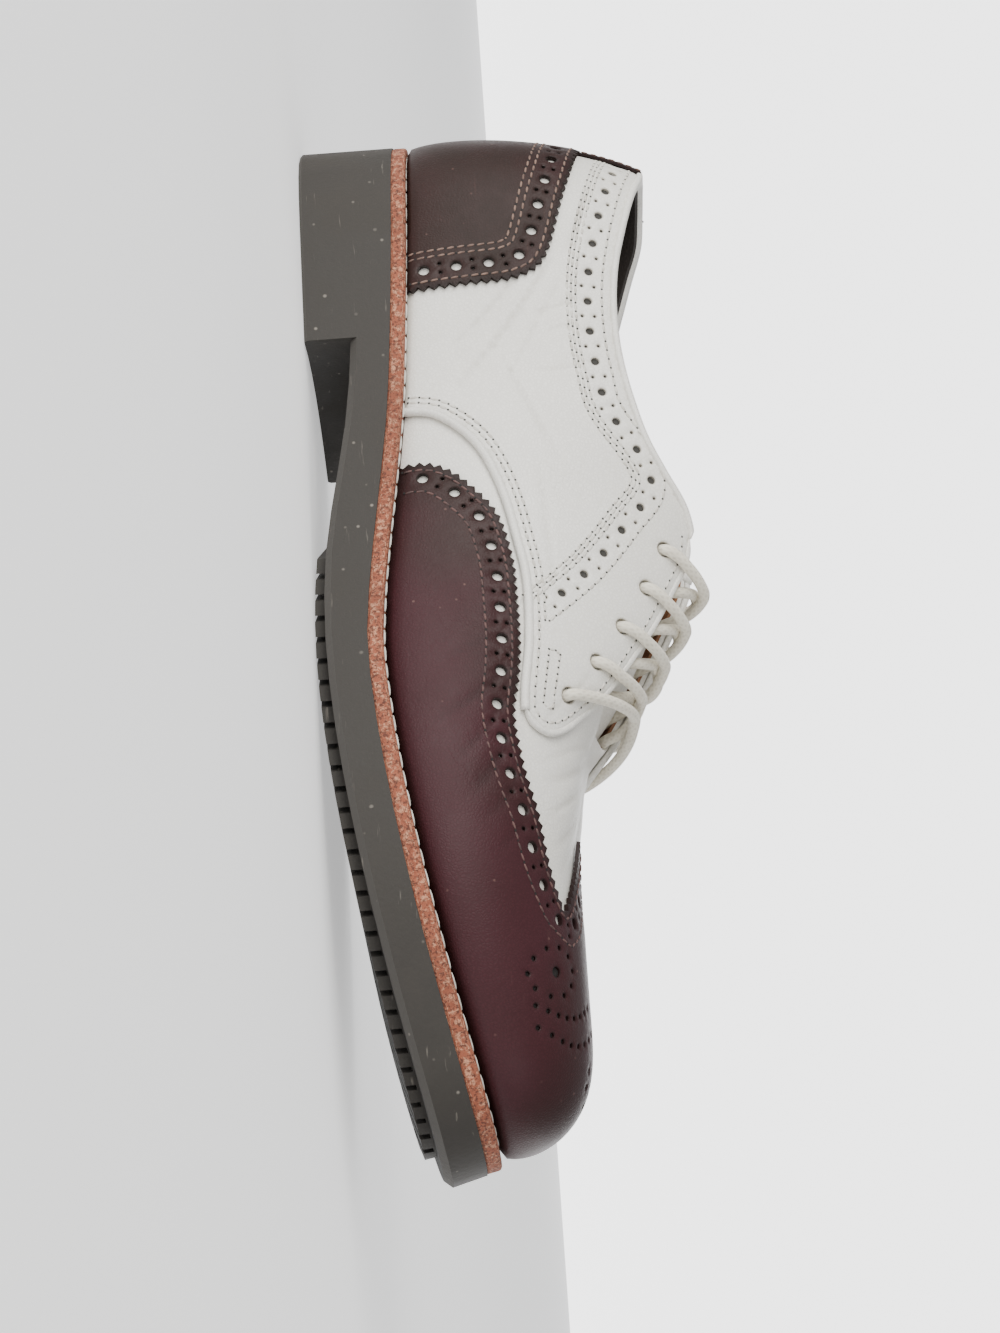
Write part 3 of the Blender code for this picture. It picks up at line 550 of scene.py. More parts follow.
def grid_faces(rows: int, cols: int, start: int = 0, flip: bool = False, ring: bool = False,
               tube: bool = False) -> Array:
    """Quads of a grid of points stored row by row.

    Args:
        rows: number of rows.
        cols: points in a row.
        start: index of the first point.
        flip: whether to turn the faces round.
        ring: whether the last row joins the first.
        tube: whether the last column joins the first.

    Returns:
        Rows of four indices.
    """
    i, j = np.meshgrid(np.arange(rows if ring else rows - 1), np.arange(cols if tube else cols - 1),
                       indexing="ij")
    k, m = (i + 1) % rows, (j + 1) % cols
    quads = joined(i * cols + j, k * cols + j, k * cols + m, i * cols + m).reshape(-1, 4)
    return start + (quads[:, ::-1] if flip else quads)


def slab_parts(outer: Array, inner: Array, ring: bool = False) -> tuple:
    """A closed wall between two grids: two skins joined round their free edges.

    Args:
        outer: grid of points on the outside, rows by columns.
        inner: grid of points on the inside.
        ring: whether the last row joins the first.

    Returns:
        Points and a list of faces.
    """
    rows, cols = outer.shape[:2]
    half = rows * cols
    row = np.arange(rows if ring else rows - 1)
    after = (row + 1) % rows
    rims = [(row * cols, after * cols, False), (row * cols + cols - 1, after * cols + cols - 1, True)]
    if not ring:
        col = np.arange(cols - 1)
        rims += [(start + col, start + col + 1, flip) for start, flip in ((0, True), (half - cols, False))]
    faces = [grid_faces(rows, cols, 0, True, ring), grid_faces(rows, cols, half, False, ring)]
    for a, b, flip in rims:
        edge = joined(a, b, half + b, half + a)
        faces.append(edge[:, ::-1] if flip else edge)
    return np.vstack([outer.reshape(-1, 3), inner.reshape(-1, 3)]), list(np.vstack(faces))


def loft_faces(rows: int, cols: int, flip: bool = False) -> list:
    """Faces of a closed body of rings: quads between the rings, and a face over each end."""
    ends = [list(range(cols))[::-1], list(range((rows - 1) * cols, rows * cols))]
    return list(grid_faces(rows, cols, flip=flip, tube=True)) + [e[::-1] if flip else e for e in ends]


def ribbon_uv(route: Array, shares: Array) -> Array:
    """Length along a route, and a share across it, for each point of its rings."""
    return joined(run_along(route)[:, None], shares).reshape(-1, 2)


def tube_parts(route: Array, radius: float, sides: int = 12) -> tuple:
    """A round cord along a route.

    The ring at each point lies across the route, and its two directions are carried along from point
    to point without a twist.

    Args:
        route: rows of x, y and z.
        radius: the cord's radius.
        sides: points in a ring.

    Returns:
        Points, faces and the UV (length along, share round) of each point.
    """
    way = unit(np.gradient(route, axis=0))
    up = np.cross(way[0], (0.3, 0.2, 1.0))
    ups = []
    for direction in way:
        up = unit(up - direction * (up @ direction))
        ups.append(up)
    ups = np.array(ups)
    points = route[:, None, :] + rings(ups, np.cross(way, ups), sides) * radius
    uv = ribbon_uv(route, np.arange(sides) / sides)
    return points.reshape(-1, 3), loft_faces(len(route), sides, True), uv


def stitch_bars(middle: Array, half: Array, across: Array, up: Array, ends: tuple,
                sides: int, sink: float = 0.0, flip: bool = False) -> tuple:
    """Stitches as flattened bars with round ends.

    A bar's girth is the square root of one less the fourth power of the share of the way from its
    middle to its end.

    Args:
        middle: centre of each bar.
        half: step from each centre to the bar's end.
        across: step to its side.
        up: step to its top.
        ends: shares of the way at which the bar starts to narrow.
        sides: points round a bar.
        sink: how far its ends dip, as a share of up.
        flip: whether to turn the faces round.

    Returns:
        Points and faces.
    """
    reach = np.array([-1.0, -ends[0], -ends[1], ends[1], ends[0], 1.0])
    girth = np.sqrt(np.clip(1 - reach ** 4, 0.02, 1))
    body = (middle[:, None, None, :] + reach[:, None, None] * half[:, None, None, :]
            + girth[:, None, None] * rings(across, up, sides)[:, None]
            - sink * (reach ** 2)[:, None, None] * up[:, None, None, :])
    first = len(reach) * sides * np.arange(len(middle))[:, None, None]
    faces = grid_faces(len(reach), sides, flip=flip, tube=True)[None] + first
    return body.reshape(-1, 3), faces.reshape(-1, 4)


@dataclass
class Pile:
    """Many small bodies that make up one piece."""

    points: list = field(default_factory=list)
    faces: list = field(default_factory=list)

    def add(self, points: Array, faces: Array) -> None:
        """Add bodies whose faces count from their own first point."""
        self.faces.extend(faces + sum(map(len, self.points)))
        self.points.append(points)

    def build(self, name: str, material: Material, slot: Slot) -> SceneObject:
        """Make the piece."""
        return mesh_object(name, np.vstack(self.points), self.faces, material, slot, 180)


@dataclass(frozen=True)
class Crease:
    """A fold pressed into the leather: a bowed line from one place to another."""

    turn: float
    up: float
    turn_end: float
    up_end: float
    bow: float
    width: float
    depth: float


@dataclass
class Creases:
    """All the folds of one leather, turned into heights on its surface."""

    last: Last
    folds: tuple
    sides: tuple = (-1.0, 1.0)

    def heights(self, places: Array) -> Array:
        """Height of the folded leather at places.

        Each fold is a trough with a low shoulder on both sides: a bell curve of the distance from its
        line, less a wider and lower one, faded out at its ends.

        Args:
            places: rows of turn and across.

        Returns:
            One height for each place.
        """
        points = self.last.bare(*places.T)
        total = np.zeros(len(points))
        share = np.linspace(0, 1, 25)
        for fold, side in ((fold, side) for fold in self.folds for side in self.sides):
            turn = fold.turn + (fold.turn_end - fold.turn) * share + fold.bow * np.sin(np.pi * share)
            up = fold.up + (fold.up_end - fold.up) * share
            line = self.last.bare(turn, side * (1 - up))
            reach = np.ptp(line, axis=0) / 2 + 4 * fold.width
            near = (np.abs(points - line.mean(axis=0)) < reach).all(axis=1)
            if not near.any():
                continue
            gap = np.linalg.norm(points[near][:, None, :] - line[None, :, :], axis=-1)
            fade = np.sin(np.pi * np.clip(share[gap.argmin(axis=1)], 0.02, 0.98)) ** 0.5
            distance = gap.min(axis=1) / fold.width
            trough = 0.45 * np.exp(-(distance / 2.2) ** 2) - np.exp(-distance ** 2)
            total[near] += fold.depth * fade * trough
        return total

    @staticmethod
    def mark(obj: SceneObject, fold: Array, rim: Array) -> None:
        """Store the depth of the folds and the cut edges on both skins of a leather, for its finish."""
        for name, values in (("rim", rim), ("fold", np.clip(-fold / FULL_FOLD, -1, 1))):
            layer = obj.data.attributes.new(name, "FLOAT", "POINT")
            layer.data.foreach_set("value", np.tile(values, 2).astype(np.float32))


@dataclass
class Panel:
    """A cut piece of leather on the last, with shaped edges, punched holes and a thickness."""

    last: Last
    name: str
    material: Material
    slot: Slot
    low: float = 0.3 * MM
    high: float = 1.7 * MM
    spacing: float = 1.5 * MM
    lip: float = 0.3 * MM
    collar: float = 0.45 * MM
    hole_clear: float = 0.4 * MM
    point_clear: float = 0.62
    creases: Creases = None
    holes: list = field(default_factory=list)
    collars: list = field(default_factory=list)

    def punch(self, centres: Array, radius: float, sides: int = 12) -> None:
        """Punch round holes, each with a ring of points round it.

        Args:
            centres: rows of turn and across.
            radius: the holes' radius.
            sides: points round each.
        """
        loops = self.last.loops(centres, sides)
        for reach, store in ((radius, self.holes), (radius + self.collar, self.collars)):
            spots = self.last.walk(np.repeat(centres, sides, axis=0), (reach * loops).reshape(-1, 3))
            store.extend(spots.reshape(len(centres), sides, 2))

    def lattice(self, outline: Array) -> Array:
        """Rows of places over the outline's range, evenly spaced along each row."""
        low, high = outline.min(axis=0), outline.max(axis=0)
        reach = self.last.bare(np.full(2, 0.5), np.array([low[1], high[1]]))
        count = int(1.25 * np.linalg.norm(np.diff(reach, axis=0)) / self.spacing) + 12
        turns = np.linspace(low[0], high[0], 200)
        rows = []
        for n, across in enumerate(np.linspace(low[1], high[1], count)[1:-1]):
            line = self.last.even(joined(turns, across), self.spacing)
            rows.append((line[1:] + line[:-1]) / 2 if n % 2 else line)
        return np.vstack(rows)

    def keep_clear(self, spots: Array, fixed: Array) -> Array:
        """Drop the spots that lie too near the fixed points or in a hole."""
        points, walls = self.last.bare(*spots.T), self.last.bare(*fixed.T)
        keep = np.ones(len(points), dtype=bool)
        for start in range(0, len(points), 1500):
            part = slice(start, start + 1500)
            gap = ((points[part, None, :] - walls[None, :, :]) ** 2).sum(axis=-1).min(axis=1)
            keep[part] = gap > (self.point_clear * self.spacing) ** 2
        for hole in self.holes:
            edge = self.last.bare(*hole.T)
            centre = edge.mean(axis=0)
            size = np.linalg.norm(edge[0] - centre)
            keep &= ((points - centre) ** 2).sum(axis=1) > (size + self.hole_clear) ** 2
        return spots[keep]

    def net(self, outline: Array) -> tuple:
        """A flat net of triangles over the laid-out surface, whose edges keep the outline and the holes.

        Args:
            outline: rows of turn and across, closed.

        Returns:
            The net's places, its triangles, and whether each place lies on a cut edge.
        """
        borders = [outline] + self.holes
        fixed = np.vstack(borders)
        extra = np.vstack(self.collars) if self.collars else np.empty((0, 2))
        lattice = self.keep_clear(self.lattice(outline), np.vstack([fixed, extra]))
        places = np.vstack([fixed, extra, lattice])
        edges, owner, start = [], np.full(len(places), -1), 0
        for n, border in enumerate(borders):
            index = np.arange(len(border)) + start
            edges += list(zip(index.tolist(), np.roll(index, -1).tolist()))
            owner[index] = n
            start += len(border)
        laid = self.last.flat(places) / MM
        corners, _, faces, origins, *_ = delaunay_2d_cdt(list(map(Vector, laid.tolist())), edges, [], 1, 1e-5)
        source = np.array([origin[0] if origin else -1 for origin in origins])
        for k in np.nonzero(source < 0)[0]:
            source[k] = ((laid - np.array(corners[k])) ** 2).sum(axis=1).argmin()
        tris = source[np.array([f for f in faces if len(f) == 3])]
        rims = owner[tris]
        in_hole = (rims.min(axis=1) == rims.max(axis=1)) & (rims[:, 0] > 0)
        used, tris = np.unique(whole(tris[~in_hole]), return_inverse=True)
        return places[used], tris.reshape(-1, 3), owner[used] >= 0

    def build(self, outline: Array) -> SceneObject:
        """Make the panel inside a closed outline.

        The net is raised onto the last twice, and walls join the two skins round every edge.

        Args:
            outline: rows of turn and across, closed.

        Returns:
            The object.
        """
        places, tris, rim = self.net(outline)
        count = len(places)
        fold = self.creases.heights(places) if self.creases else np.zeros(count)
        top = self.last.skin(*places.T, self.high + fold - np.where(rim, self.lip, 0.0))
        base = self.last.skin(*places.T, self.low)
        normal = self.last.tangents(*places.T)[2]
        a, b, c = (top[tris[:, k]] for k in range(3))
        wrong = (np.cross(b - a, c - a) * normal[tris[:, 0]]).sum(axis=1) < 0
        tris[wrong] = tris[wrong][:, ::-1]
        sides = np.vstack([tris[:, [0, 1]], tris[:, [1, 2]], tris[:, [2, 0]]])
        key = np.sort(sides, axis=1) @ np.array([count, 1])
        _, first, times = np.unique(key, return_index=True, return_counts=True)
        start, end = sides[first[times == 1]].T
        wall = joined(end, start, start + count, end + count)
        faces = [*tris, *(tris[:, ::-1] + count), *wall]
        obj = mesh_object(self.name, np.vstack([top, base]), faces, self.material, self.slot, 50)
        Creases.mark(obj, fold, rim)
        return obj


def hole_shade_discs(last: Last, name: str, spots: Array, radius: float, material: Material) -> None:
    """Dark discs under punched holes, just above the leather below: painted shade seen through the holes."""
    mesh_object(name, *last.discs(spots, HOLE_SHADE_LIFT, radius, 12), material, Slot.WHITE, 180)


@dataclass
class Seam:
    """Rows of stitches on the last."""

    last: Last
    thread: float = 0.42 * MM
    pitch: float = 2.7 * MM
    share: float = 0.78
    lean: float = 0.12
    hole: float = 0.34 * MM
    stitches: Pile = field(default_factory=Pile)
    holes: Pile = field(default_factory=Pile)

    def row(self, places: Array, out: float) -> None:
        """Add a row of stitches along a curve, which lean a little off it and sink at their ends, and a dark
        disc of painted shade at each needle hole.

        Args:
            places: rows of turn and across.
            out: height of the leather's face off the last.
        """
        middle = self.last.even(places, self.pitch / 2)[1::2]
        ends = self.last.even(places, self.pitch)[: len(middle) + 1]
        middle = middle[: len(ends) - 1]
        points = self.last.skin(*ends.T, out)
        normal = self.last.tangents(*middle.T)[2]
        step = np.diff(points, axis=0)
        length = np.linalg.norm(step, axis=1, keepdims=True)
        way = step / length
        side = np.cross(normal, way)
        lean = self.lean
        half = (way * np.cos(lean) + side * np.sin(lean)) * length * self.share / 2
        across = (side * np.cos(lean) - way * np.sin(lean)) * self.thread
        centre = (points[:-1] + points[1:]) / 2
        bars = stitch_bars(centre, half, across, normal * 0.75 * self.thread, (0.8, 0.35), 6, 1 / 3, True)
        self.stitches.add(*bars)
        # dark discs at the stitch ends: painted shade of the needle holes
        self.holes.add(*self.last.discs(ends, out + 0.03 * MM, self.hole, 8))

    def rows(self, edge: Array, gaps: tuple, out: float) -> None:
        """Add rows of stitches beside an edge, at distances to its left."""
        line = self.last.even(edge)
        for gap in gaps:
            self.row(self.last.beside(line, gap), out)

    def build(self, name: str, material: Material, dark: Material, slot: Slot) -> None:
        """Make the stitches and the dark discs of painted shade at their needle holes.

        Args:
            name: the seam's name.
            material: the thread's finish.
            dark: the painted shade at the needle holes.
            slot: a Slot, handed on to Pile.build.
        """
        self.stitches.build(name, material, slot)
        self.holes.build(name + "_needle_hole_shade", dark, slot)


class Nodes:
    """Short way to add and join the nodes of one shader tree."""

    def __init__(self, tree: bpy.types.NodeTree) -> None:
        """Keep the tree."""
        self.tree = tree

    def add(self, kind: str, **values: object) -> bpy.types.Node:
        """Add a node.

        Args:
            kind: the node's type name.
            **values: its properties, or its inputs by name with underscores for spaces.

        Returns:
            The node.
        """
        node = self.tree.nodes.new(kind)
        for key, value in values.items():
            if hasattr(node, key):
                setattr(node, key, value)
            else:
                self.feed(node.inputs[key.replace("_", " ")], value)
        return node

    def feed(self, socket: Socket, value: object) -> None:
        """Join an output to an input, or set the input's value."""
        if isinstance(value, Socket):
            self.tree.links.new(value, socket)
        else:
            socket.default_value = value

    def math(self, operation: str, *terms: object, clamp: bool = False) -> Socket:
        """Add a Math node and return its result."""
        node = self.tree.nodes.new("ShaderNodeMath")
        node.operation = operation
        node.use_clamp = clamp
        for socket, term in zip(node.inputs, terms):
            self.feed(socket, term)
        return node.outputs[0]

    def times(self, first: object, second: object, clamp: bool = False) -> Socket:
        """Multiply two values."""
        return self.math("MULTIPLY", first, second, clamp=clamp)

    def plus(self, first: object, second: object) -> Socket:
        """Add two values."""
        return self.math("ADD", first, second)

    def less(self, first: object, second: object) -> Socket:
        """Take the second value from the first."""
        return self.math("SUBTRACT", first, second)

    def tint(self, color: object, mask: object, amount: float, tone: object,
             clamp: bool = False) -> Socket:
        """Mix a tone into a colour, as far as a mask times an amount says."""
        node = self.tree.nodes.new("ShaderNodeMix")
        node.data_type = "RGBA"
        self.feed(node.inputs["Factor"], self.times(mask, amount, clamp) if amount != 1.0 else mask)
        self.feed(node.inputs["A"], color)
        self.feed(node.inputs["B"], tone)
        return node.outputs["Result"]

    def noise(self, vector: Socket, scale: float, detail: float = 3.0,
              rough: float = 0.5) -> Socket:
        """Add a Noise texture and return its value."""
        node = self.add("ShaderNodeTexNoise", Vector=vector, Scale=scale, Detail=detail, Roughness=rough)
        return node.outputs["Fac"]

    def ramp(self, value: Socket, low: float, high: float) -> Socket:
        """Stretch a value so that low becomes 0 and high becomes 1, smoothly."""
        node = self.tree.nodes.new("ShaderNodeMapRange")
        node.interpolation_type = "SMOOTHSTEP"
        self.feed(node.inputs["Value"], value)
        self.feed(node.inputs["From Min"], low)
        self.feed(node.inputs["From Max"], high)
        return node.outputs["Result"]


def new_group(name: str, inputs: dict, outputs: tuple) -> tuple:
    """Start a shader group with number inputs and outputs.

    Args:
        name: the group's name.
        inputs: default value for each input; a tuple of three makes a vector input.
        outputs: names of the outputs.

    Returns:
        The tree, its Nodes helper, its inputs node and its outputs node.
    """
    tree = bpy.data.node_groups.new(name, "ShaderNodeTree")
    for key, value in inputs.items():
        kind = "NodeSocketVector" if isinstance(value, tuple) else "NodeSocketFloat"
        socket = tree.interface.new_socket(key, in_out="INPUT", socket_type=kind)
        if kind == "NodeSocketFloat":
            socket.default_value = value
    for key in outputs:
        tree.interface.new_socket(key, in_out="OUTPUT", socket_type="NodeSocketFloat")
    nodes = Nodes(tree)
    return tree, nodes, tree.nodes.new("NodeGroupInput"), tree.nodes.new("NodeGroupOutput")


def grain_group() -> bpy.types.NodeTree:
    """Leather grain: pebbles from Voronoi distance, fine pores, wandering hair lines, slow mottling, and the
    furrows between pebbles as a mask for painted shade.
    """
    tree, n, given, out = new_group("leather_grain", {"Vector": (0, 0, 0), "Size": 900.0, "Lines": 0.5},
                                    ("Height", "PoreShade", "Mottle"))
    vector, size = given.outputs["Vector"], given.outputs["Size"]
    bend = n.add("ShaderNodeTexNoise", Vector=vector, Scale=180.0, Detail=2.0)
    swirl = n.add("ShaderNodeVectorMath", operation="MULTIPLY_ADD")
    for socket, value in zip(swirl.inputs, (bend.outputs["Color"], (0.0012, 0.0012, 0.0012), vector)):
        n.feed(socket, value)
    cells = n.add("ShaderNodeTexVoronoi", feature="DISTANCE_TO_EDGE", Vector=swirl.outputs[0], Scale=size)
    pebble = n.ramp(cells.outputs["Distance"], 0.0, 0.28)
    fine = n.noise(vector, n.times(size, 2.2), 2.0)
    ridge = n.math("ABSOLUTE", n.less(n.noise(swirl.outputs[0], 95.0, 4.0, 0.6), 0.5))
    line = n.less(1.0, n.ramp(ridge, 0.0, 0.035))
    patch = n.ramp(n.noise(vector, 28.0, 2.0), 0.48, 0.66)
    line = n.times(n.times(line, patch), given.outputs["Lines"])
    height = n.plus(n.times(pebble, 0.55), n.times(fine, 0.45))
    n.feed(out.inputs["Height"], n.less(height, line))
    # the furrows between the pebbles, where the finish paints shade
    n.feed(out.inputs["PoreShade"], n.less(1.0, pebble))
    n.feed(out.inputs["Mottle"], n.noise(vector, 22.0, 5.0, 0.6))
    return tree


def speck_group() -> bpy.types.NodeTree:
    """Scattered specks and short scuffs: bright cells of a Voronoi pattern and thin bands of noise."""
    tree, n, given, out = new_group("specks_and_scuffs", {"Vector": (0, 0, 0), "Size": 420.0, "Amount": 0.5},
                                    ("Specks", "Scuffs"))
    vector, amount = given.outputs["Vector"], given.outputs["Amount"]
    cells = n.add("ShaderNodeTexVoronoi", feature="F1", Vector=vector, Scale=given.outputs["Size"])
    dot = n.less(1.0, n.ramp(cells.outputs["Distance"], 0.06, 0.22))
    parts = n.add("ShaderNodeSeparateColor", Color=cells.outputs["Color"])
    chance = n.ramp(parts.outputs[0], n.less(1.0, n.times(amount, 0.2)), 1.0)
    n.feed(out.inputs["Specks"], n.times(dot, chance))
    stretched = n.add("ShaderNodeMapping", Vector=vector, Scale=(60.0, 200.0, 620.0),
                      Rotation=(0.2, 0.5, 0.1))
    band = n.noise(stretched.outputs[0], 1.0, 3.0, 0.55)
    n.feed(out.inputs["Scuffs"], n.times(n.ramp(band, 0.66, 0.78), amount))
    return tree


def braid_group() -> bpy.types.NodeTree:
    """Round braid: two families of strands that wind opposite ways, read from the UV of a cord."""
    tree, n, given, out = new_group("cord_braid", {"Vector": (0, 0, 0), "Strands": 6.0, "Pitch": 420.0},
                                    ("Height", "Fuzz"))
    parts = n.add("ShaderNodeSeparateXYZ", Vector=given.outputs["Vector"])
    run = n.times(parts.outputs["X"], given.outputs["Pitch"])
    turn = n.times(parts.outputs["Y"], given.outputs["Strands"])
    phases = [n.times(sum_or_gap(run, turn), np.pi) for sum_or_gap in (n.plus, n.less)]
    waves = [n.math("ABSOLUTE", n.math("SINE", phase)) for phase in phases]
    n.feed(out.inputs["Height"], n.math("MAXIMUM", *waves))
    n.feed(out.inputs["Fuzz"], n.noise(n.add("ShaderNodeTexCoord").outputs["Object"], 2600.0, 2.0))
    return tree


@dataclass
class Workshop:
    """Shader groups that more than one finish uses, each made once."""

    made: dict = field(default_factory=dict)

    def group(self, name: str) -> bpy.types.NodeTree:
        """Return a shared group, and make it the first time."""
        makers = {"grain": grain_group, "specks": speck_group, "braid": braid_group}
        if name not in self.made:
            self.made[name] = makers[name]()
        return self.made[name]

    def start(self, name: str) -> tuple:
        """Start a material.

        Args:
            name: the material's name.

        Returns:
            The material, its Nodes helper, its shader and its Object coordinates.
        """
        material = bpy.data.materials.new(name)
        material.use_nodes = True
        nodes = Nodes(material.node_tree)
        shader = material.node_tree.nodes["Principled BSDF"]
        place = nodes.add("ShaderNodeTexCoord").outputs["Object"]
        return material, nodes, shader, place

    def use(self, nodes: Nodes, name: str, **values: object) -> bpy.types.Node:
        """Place a shared group in a material with its own values."""
        node = nodes.tree.nodes.new("ShaderNodeGroup")
        node.node_tree = self.group(name)
        for key, value in values.items():
            nodes.feed(node.inputs[key], value)
        return node

    @staticmethod
    def finish(nodes: Nodes, shader: bpy.types.Node, color: object, height: object = None, depth: float = 0.0,
               **values: object) -> None:
        """Feed a shader its colour, its bump height and its other inputs by name.

        Args:
            nodes: the material's helper.
            shader: its shader node.
            color: the base colour.
            height: the bump's height, or None.
            depth: the bump's distance.
            **values: more inputs, with underscores for spaces.
        """
        nodes.feed(shader.inputs["Base Color"], color)
        for key, value in values.items():
            nodes.feed(shader.inputs[key.replace("_", " ")], value)
        if height is not None:
            bump = nodes.add("ShaderNodeBump", Height=height, Distance=depth)
            nodes.feed(shader.inputs["Normal"], bump.outputs["Normal"])


@dataclass(frozen=True)
class LeatherFinish:
    """A leather: its colours, gloss, grain, the painted shade in its folds and grain furrows, and the darker
    tint of its cut edges.
    """

    name: str
    base: tuple
    shade: tuple
    burnish: tuple
    # colour of the painted shade in the folds and grain furrows, also used to darken the cut edges
    crease_shade: tuple
    roughness: float = 0.42
    grain: float = 900.0
    relief: float = 0.10 * MM
    lines: float = 0.5
    specks: float = 0.0
    speck: tuple = (0.3, 0.2, 0.2, 1.0)
    mottle: float = 0.5
    shine: float = 0.4

    def make(self, shop: Workshop) -> Material:
        """Build the material.

        Args:
            shop: the shared shader groups.

        Returns:
            The material.
        """
        material, n, shader, place = shop.start(self.name)
        grain = shop.use(n, "grain", Vector=place, Size=self.grain, Lines=self.lines)
        marks = shop.use(n, "specks", Vector=place, Amount=self.specks)
        slow = n.ramp(grain.outputs["Mottle"], 0.32, 0.72)
        patch = n.ramp(n.noise(place, 9.0, 3.0, 0.55), 0.42, 0.64)
        fold, rim = (n.add("ShaderNodeAttribute", attribute_name=name).outputs["Fac"]
                     for name in ("fold", "rim"))
        color = n.tint(self.base, slow, self.mottle, self.shade)
        color = n.tint(color, patch, self.mottle, self.burnish)
        # painted shade: darker in the folds, as deep as they go; the same colour darkens the cut edges
        color = n.tint(color, n.math("MAXIMUM", fold, 0.0), 0.75, self.crease_shade, clamp=True)
        color = n.tint(color, rim, 0.7, self.crease_shade, clamp=True)
        # painted shade in the furrows between the grain's pebbles
        color = n.tint(color, grain.outputs["PoreShade"], 0.16, self.crease_shade)
        color = n.tint(color, marks.outputs["Specks"], 0.8, self.speck)
        color = n.tint(color, marks.outputs["Scuffs"], 0.35, self.speck)
        gloss = n.plus(self.roughness, n.times(n.less(slow, 0.5), 0.14))
        gloss = n.plus(gloss, n.times(marks.outputs["Scuffs"], 0.2))
        shop.finish(n, shader, color, grain.outputs["Height"], self.relief, Roughness=gloss,
                    Specular_IOR_Level=self.shine)
        return material


@dataclass(frozen=True)
class RubberFinish:
    """Matt moulded rubber, a little scuffed, with a painted highlight on its bevels and painted shade on its
    underside.
    """

    name: str = "sole_rubber"
    base: tuple = (0.034, 0.0305, 0.0265, 1.0)
    dust: tuple = (0.062, 0.056, 0.049, 1.0)
    fleck: tuple = (0.30, 0.27, 0.23, 1.0)
    # the next two: the painted highlight on the bevel and the painted shade on the underside
    bevel_light: tuple = (0.072, 0.067, 0.061, 1.0)
    down_shade: tuple = (0.022, 0.021, 0.020, 1.0)

    def make(self, shop: Workshop) -> Material:
        """Build the material: slow dust, specks, scuffs, a painted highlight on the faces that slant down,
        and painted shade on the faces that point down.
        """
        material, n, shader, place = shop.start(self.name)
        marks = shop.use(n, "specks", Vector=place, Size=300.0, Amount=0.75)
        dust = n.ramp(n.noise(place, 35.0, 5.0, 0.62), 0.45, 0.75)
        facing = n.add("ShaderNodeSeparateXYZ", Vector=n.add("ShaderNodeNewGeometry").outputs["True Normal"])
        down = n.times(facing.outputs["Z"], -1.0)
        under = n.ramp(down, 0.85, 0.95)
        bevel = n.times(n.ramp(down, 0.3, 0.55), n.less(1.0, under))
        color = n.tint(self.base, dust, 0.35, self.dust)
        # painted highlight: paler on the bevel that slants down
        color = n.tint(color, bevel, 0.55, self.bevel_light)
        # painted shade: darker on the faces that point down
        color = n.tint(color, under, 0.9, self.down_shade)
        color = n.tint(color, marks.outputs["Specks"], 0.85, self.fleck)
        color = n.tint(color, marks.outputs["Scuffs"], 0.45, self.fleck)
        fine = n.plus(n.noise(place, 900.0, 3.0, 0.6), n.times(marks.outputs["Specks"], 0.8))
        shop.finish(n, shader, color, fine, 0.12 * MM, Roughness=n.plus(0.62, n.times(dust, 0.18)),
                    Specular_IOR_Level=0.25)
        return material


@dataclass(frozen=True)
class WeltFinish:
    """Raw russet leather edge: fibres along the edge, dark and pale flecks."""

    name: str = "russet_welt"
    base: tuple = (0.30, 0.085, 0.042, 1.0)
    pale: tuple = (0.56, 0.27, 0.16, 1.0)
    dark: tuple = (0.070, 0.022, 0.014, 1.0)

    def make(self, shop: Workshop) -> Material:
        """Build the material from noise that is stretched along the welt's own UV."""
        material, n, shader, place = shop.start(self.name)
        uv = n.add("ShaderNodeUVMap", uv_map="UVMap").outputs["UV"]
        stretched = n.add("ShaderNodeMapping", Vector=uv, Scale=(480.0, 1500.0, 1.0)).outputs[0]
        fibre = n.noise(stretched, 1.0, 5.0, 0.75)
        crumb = n.noise(place, 1300.0, 4.0, 0.75)
        color = n.tint(self.base, n.ramp(fibre, 0.48, 0.60), 1.0, self.pale)
        color = n.tint(color, n.ramp(crumb, 0.50, 0.58), 0.85, self.dark)
        color = n.tint(color, n.ramp(n.noise(place, 60.0, 3.0), 0.4, 0.7), 0.25, self.dark)
        shop.finish(n, shader, color, n.plus(fibre, n.times(crumb, 1.2)), 0.35 * MM, Roughness=0.82)
        return material


@dataclass(frozen=True)
class ThreadFinish:
    """Twisted sewing thread."""

    name: str
    base: tuple
    shade: tuple

    def make(self, shop: Workshop) -> Material:
        """Build the material: fine twist across the thread and a slow change of colour."""
        material, n, shader, place = shop.start(self.name)
        color = n.tint(self.base, n.ramp(n.noise(place, 500.0, 3.0), 0.4, 0.65), 1.0, self.shade)
        shop.finish(n, shader, color, n.noise(place, 4200.0, 2.0), 0.06 * MM, Roughness=0.7)
        return material


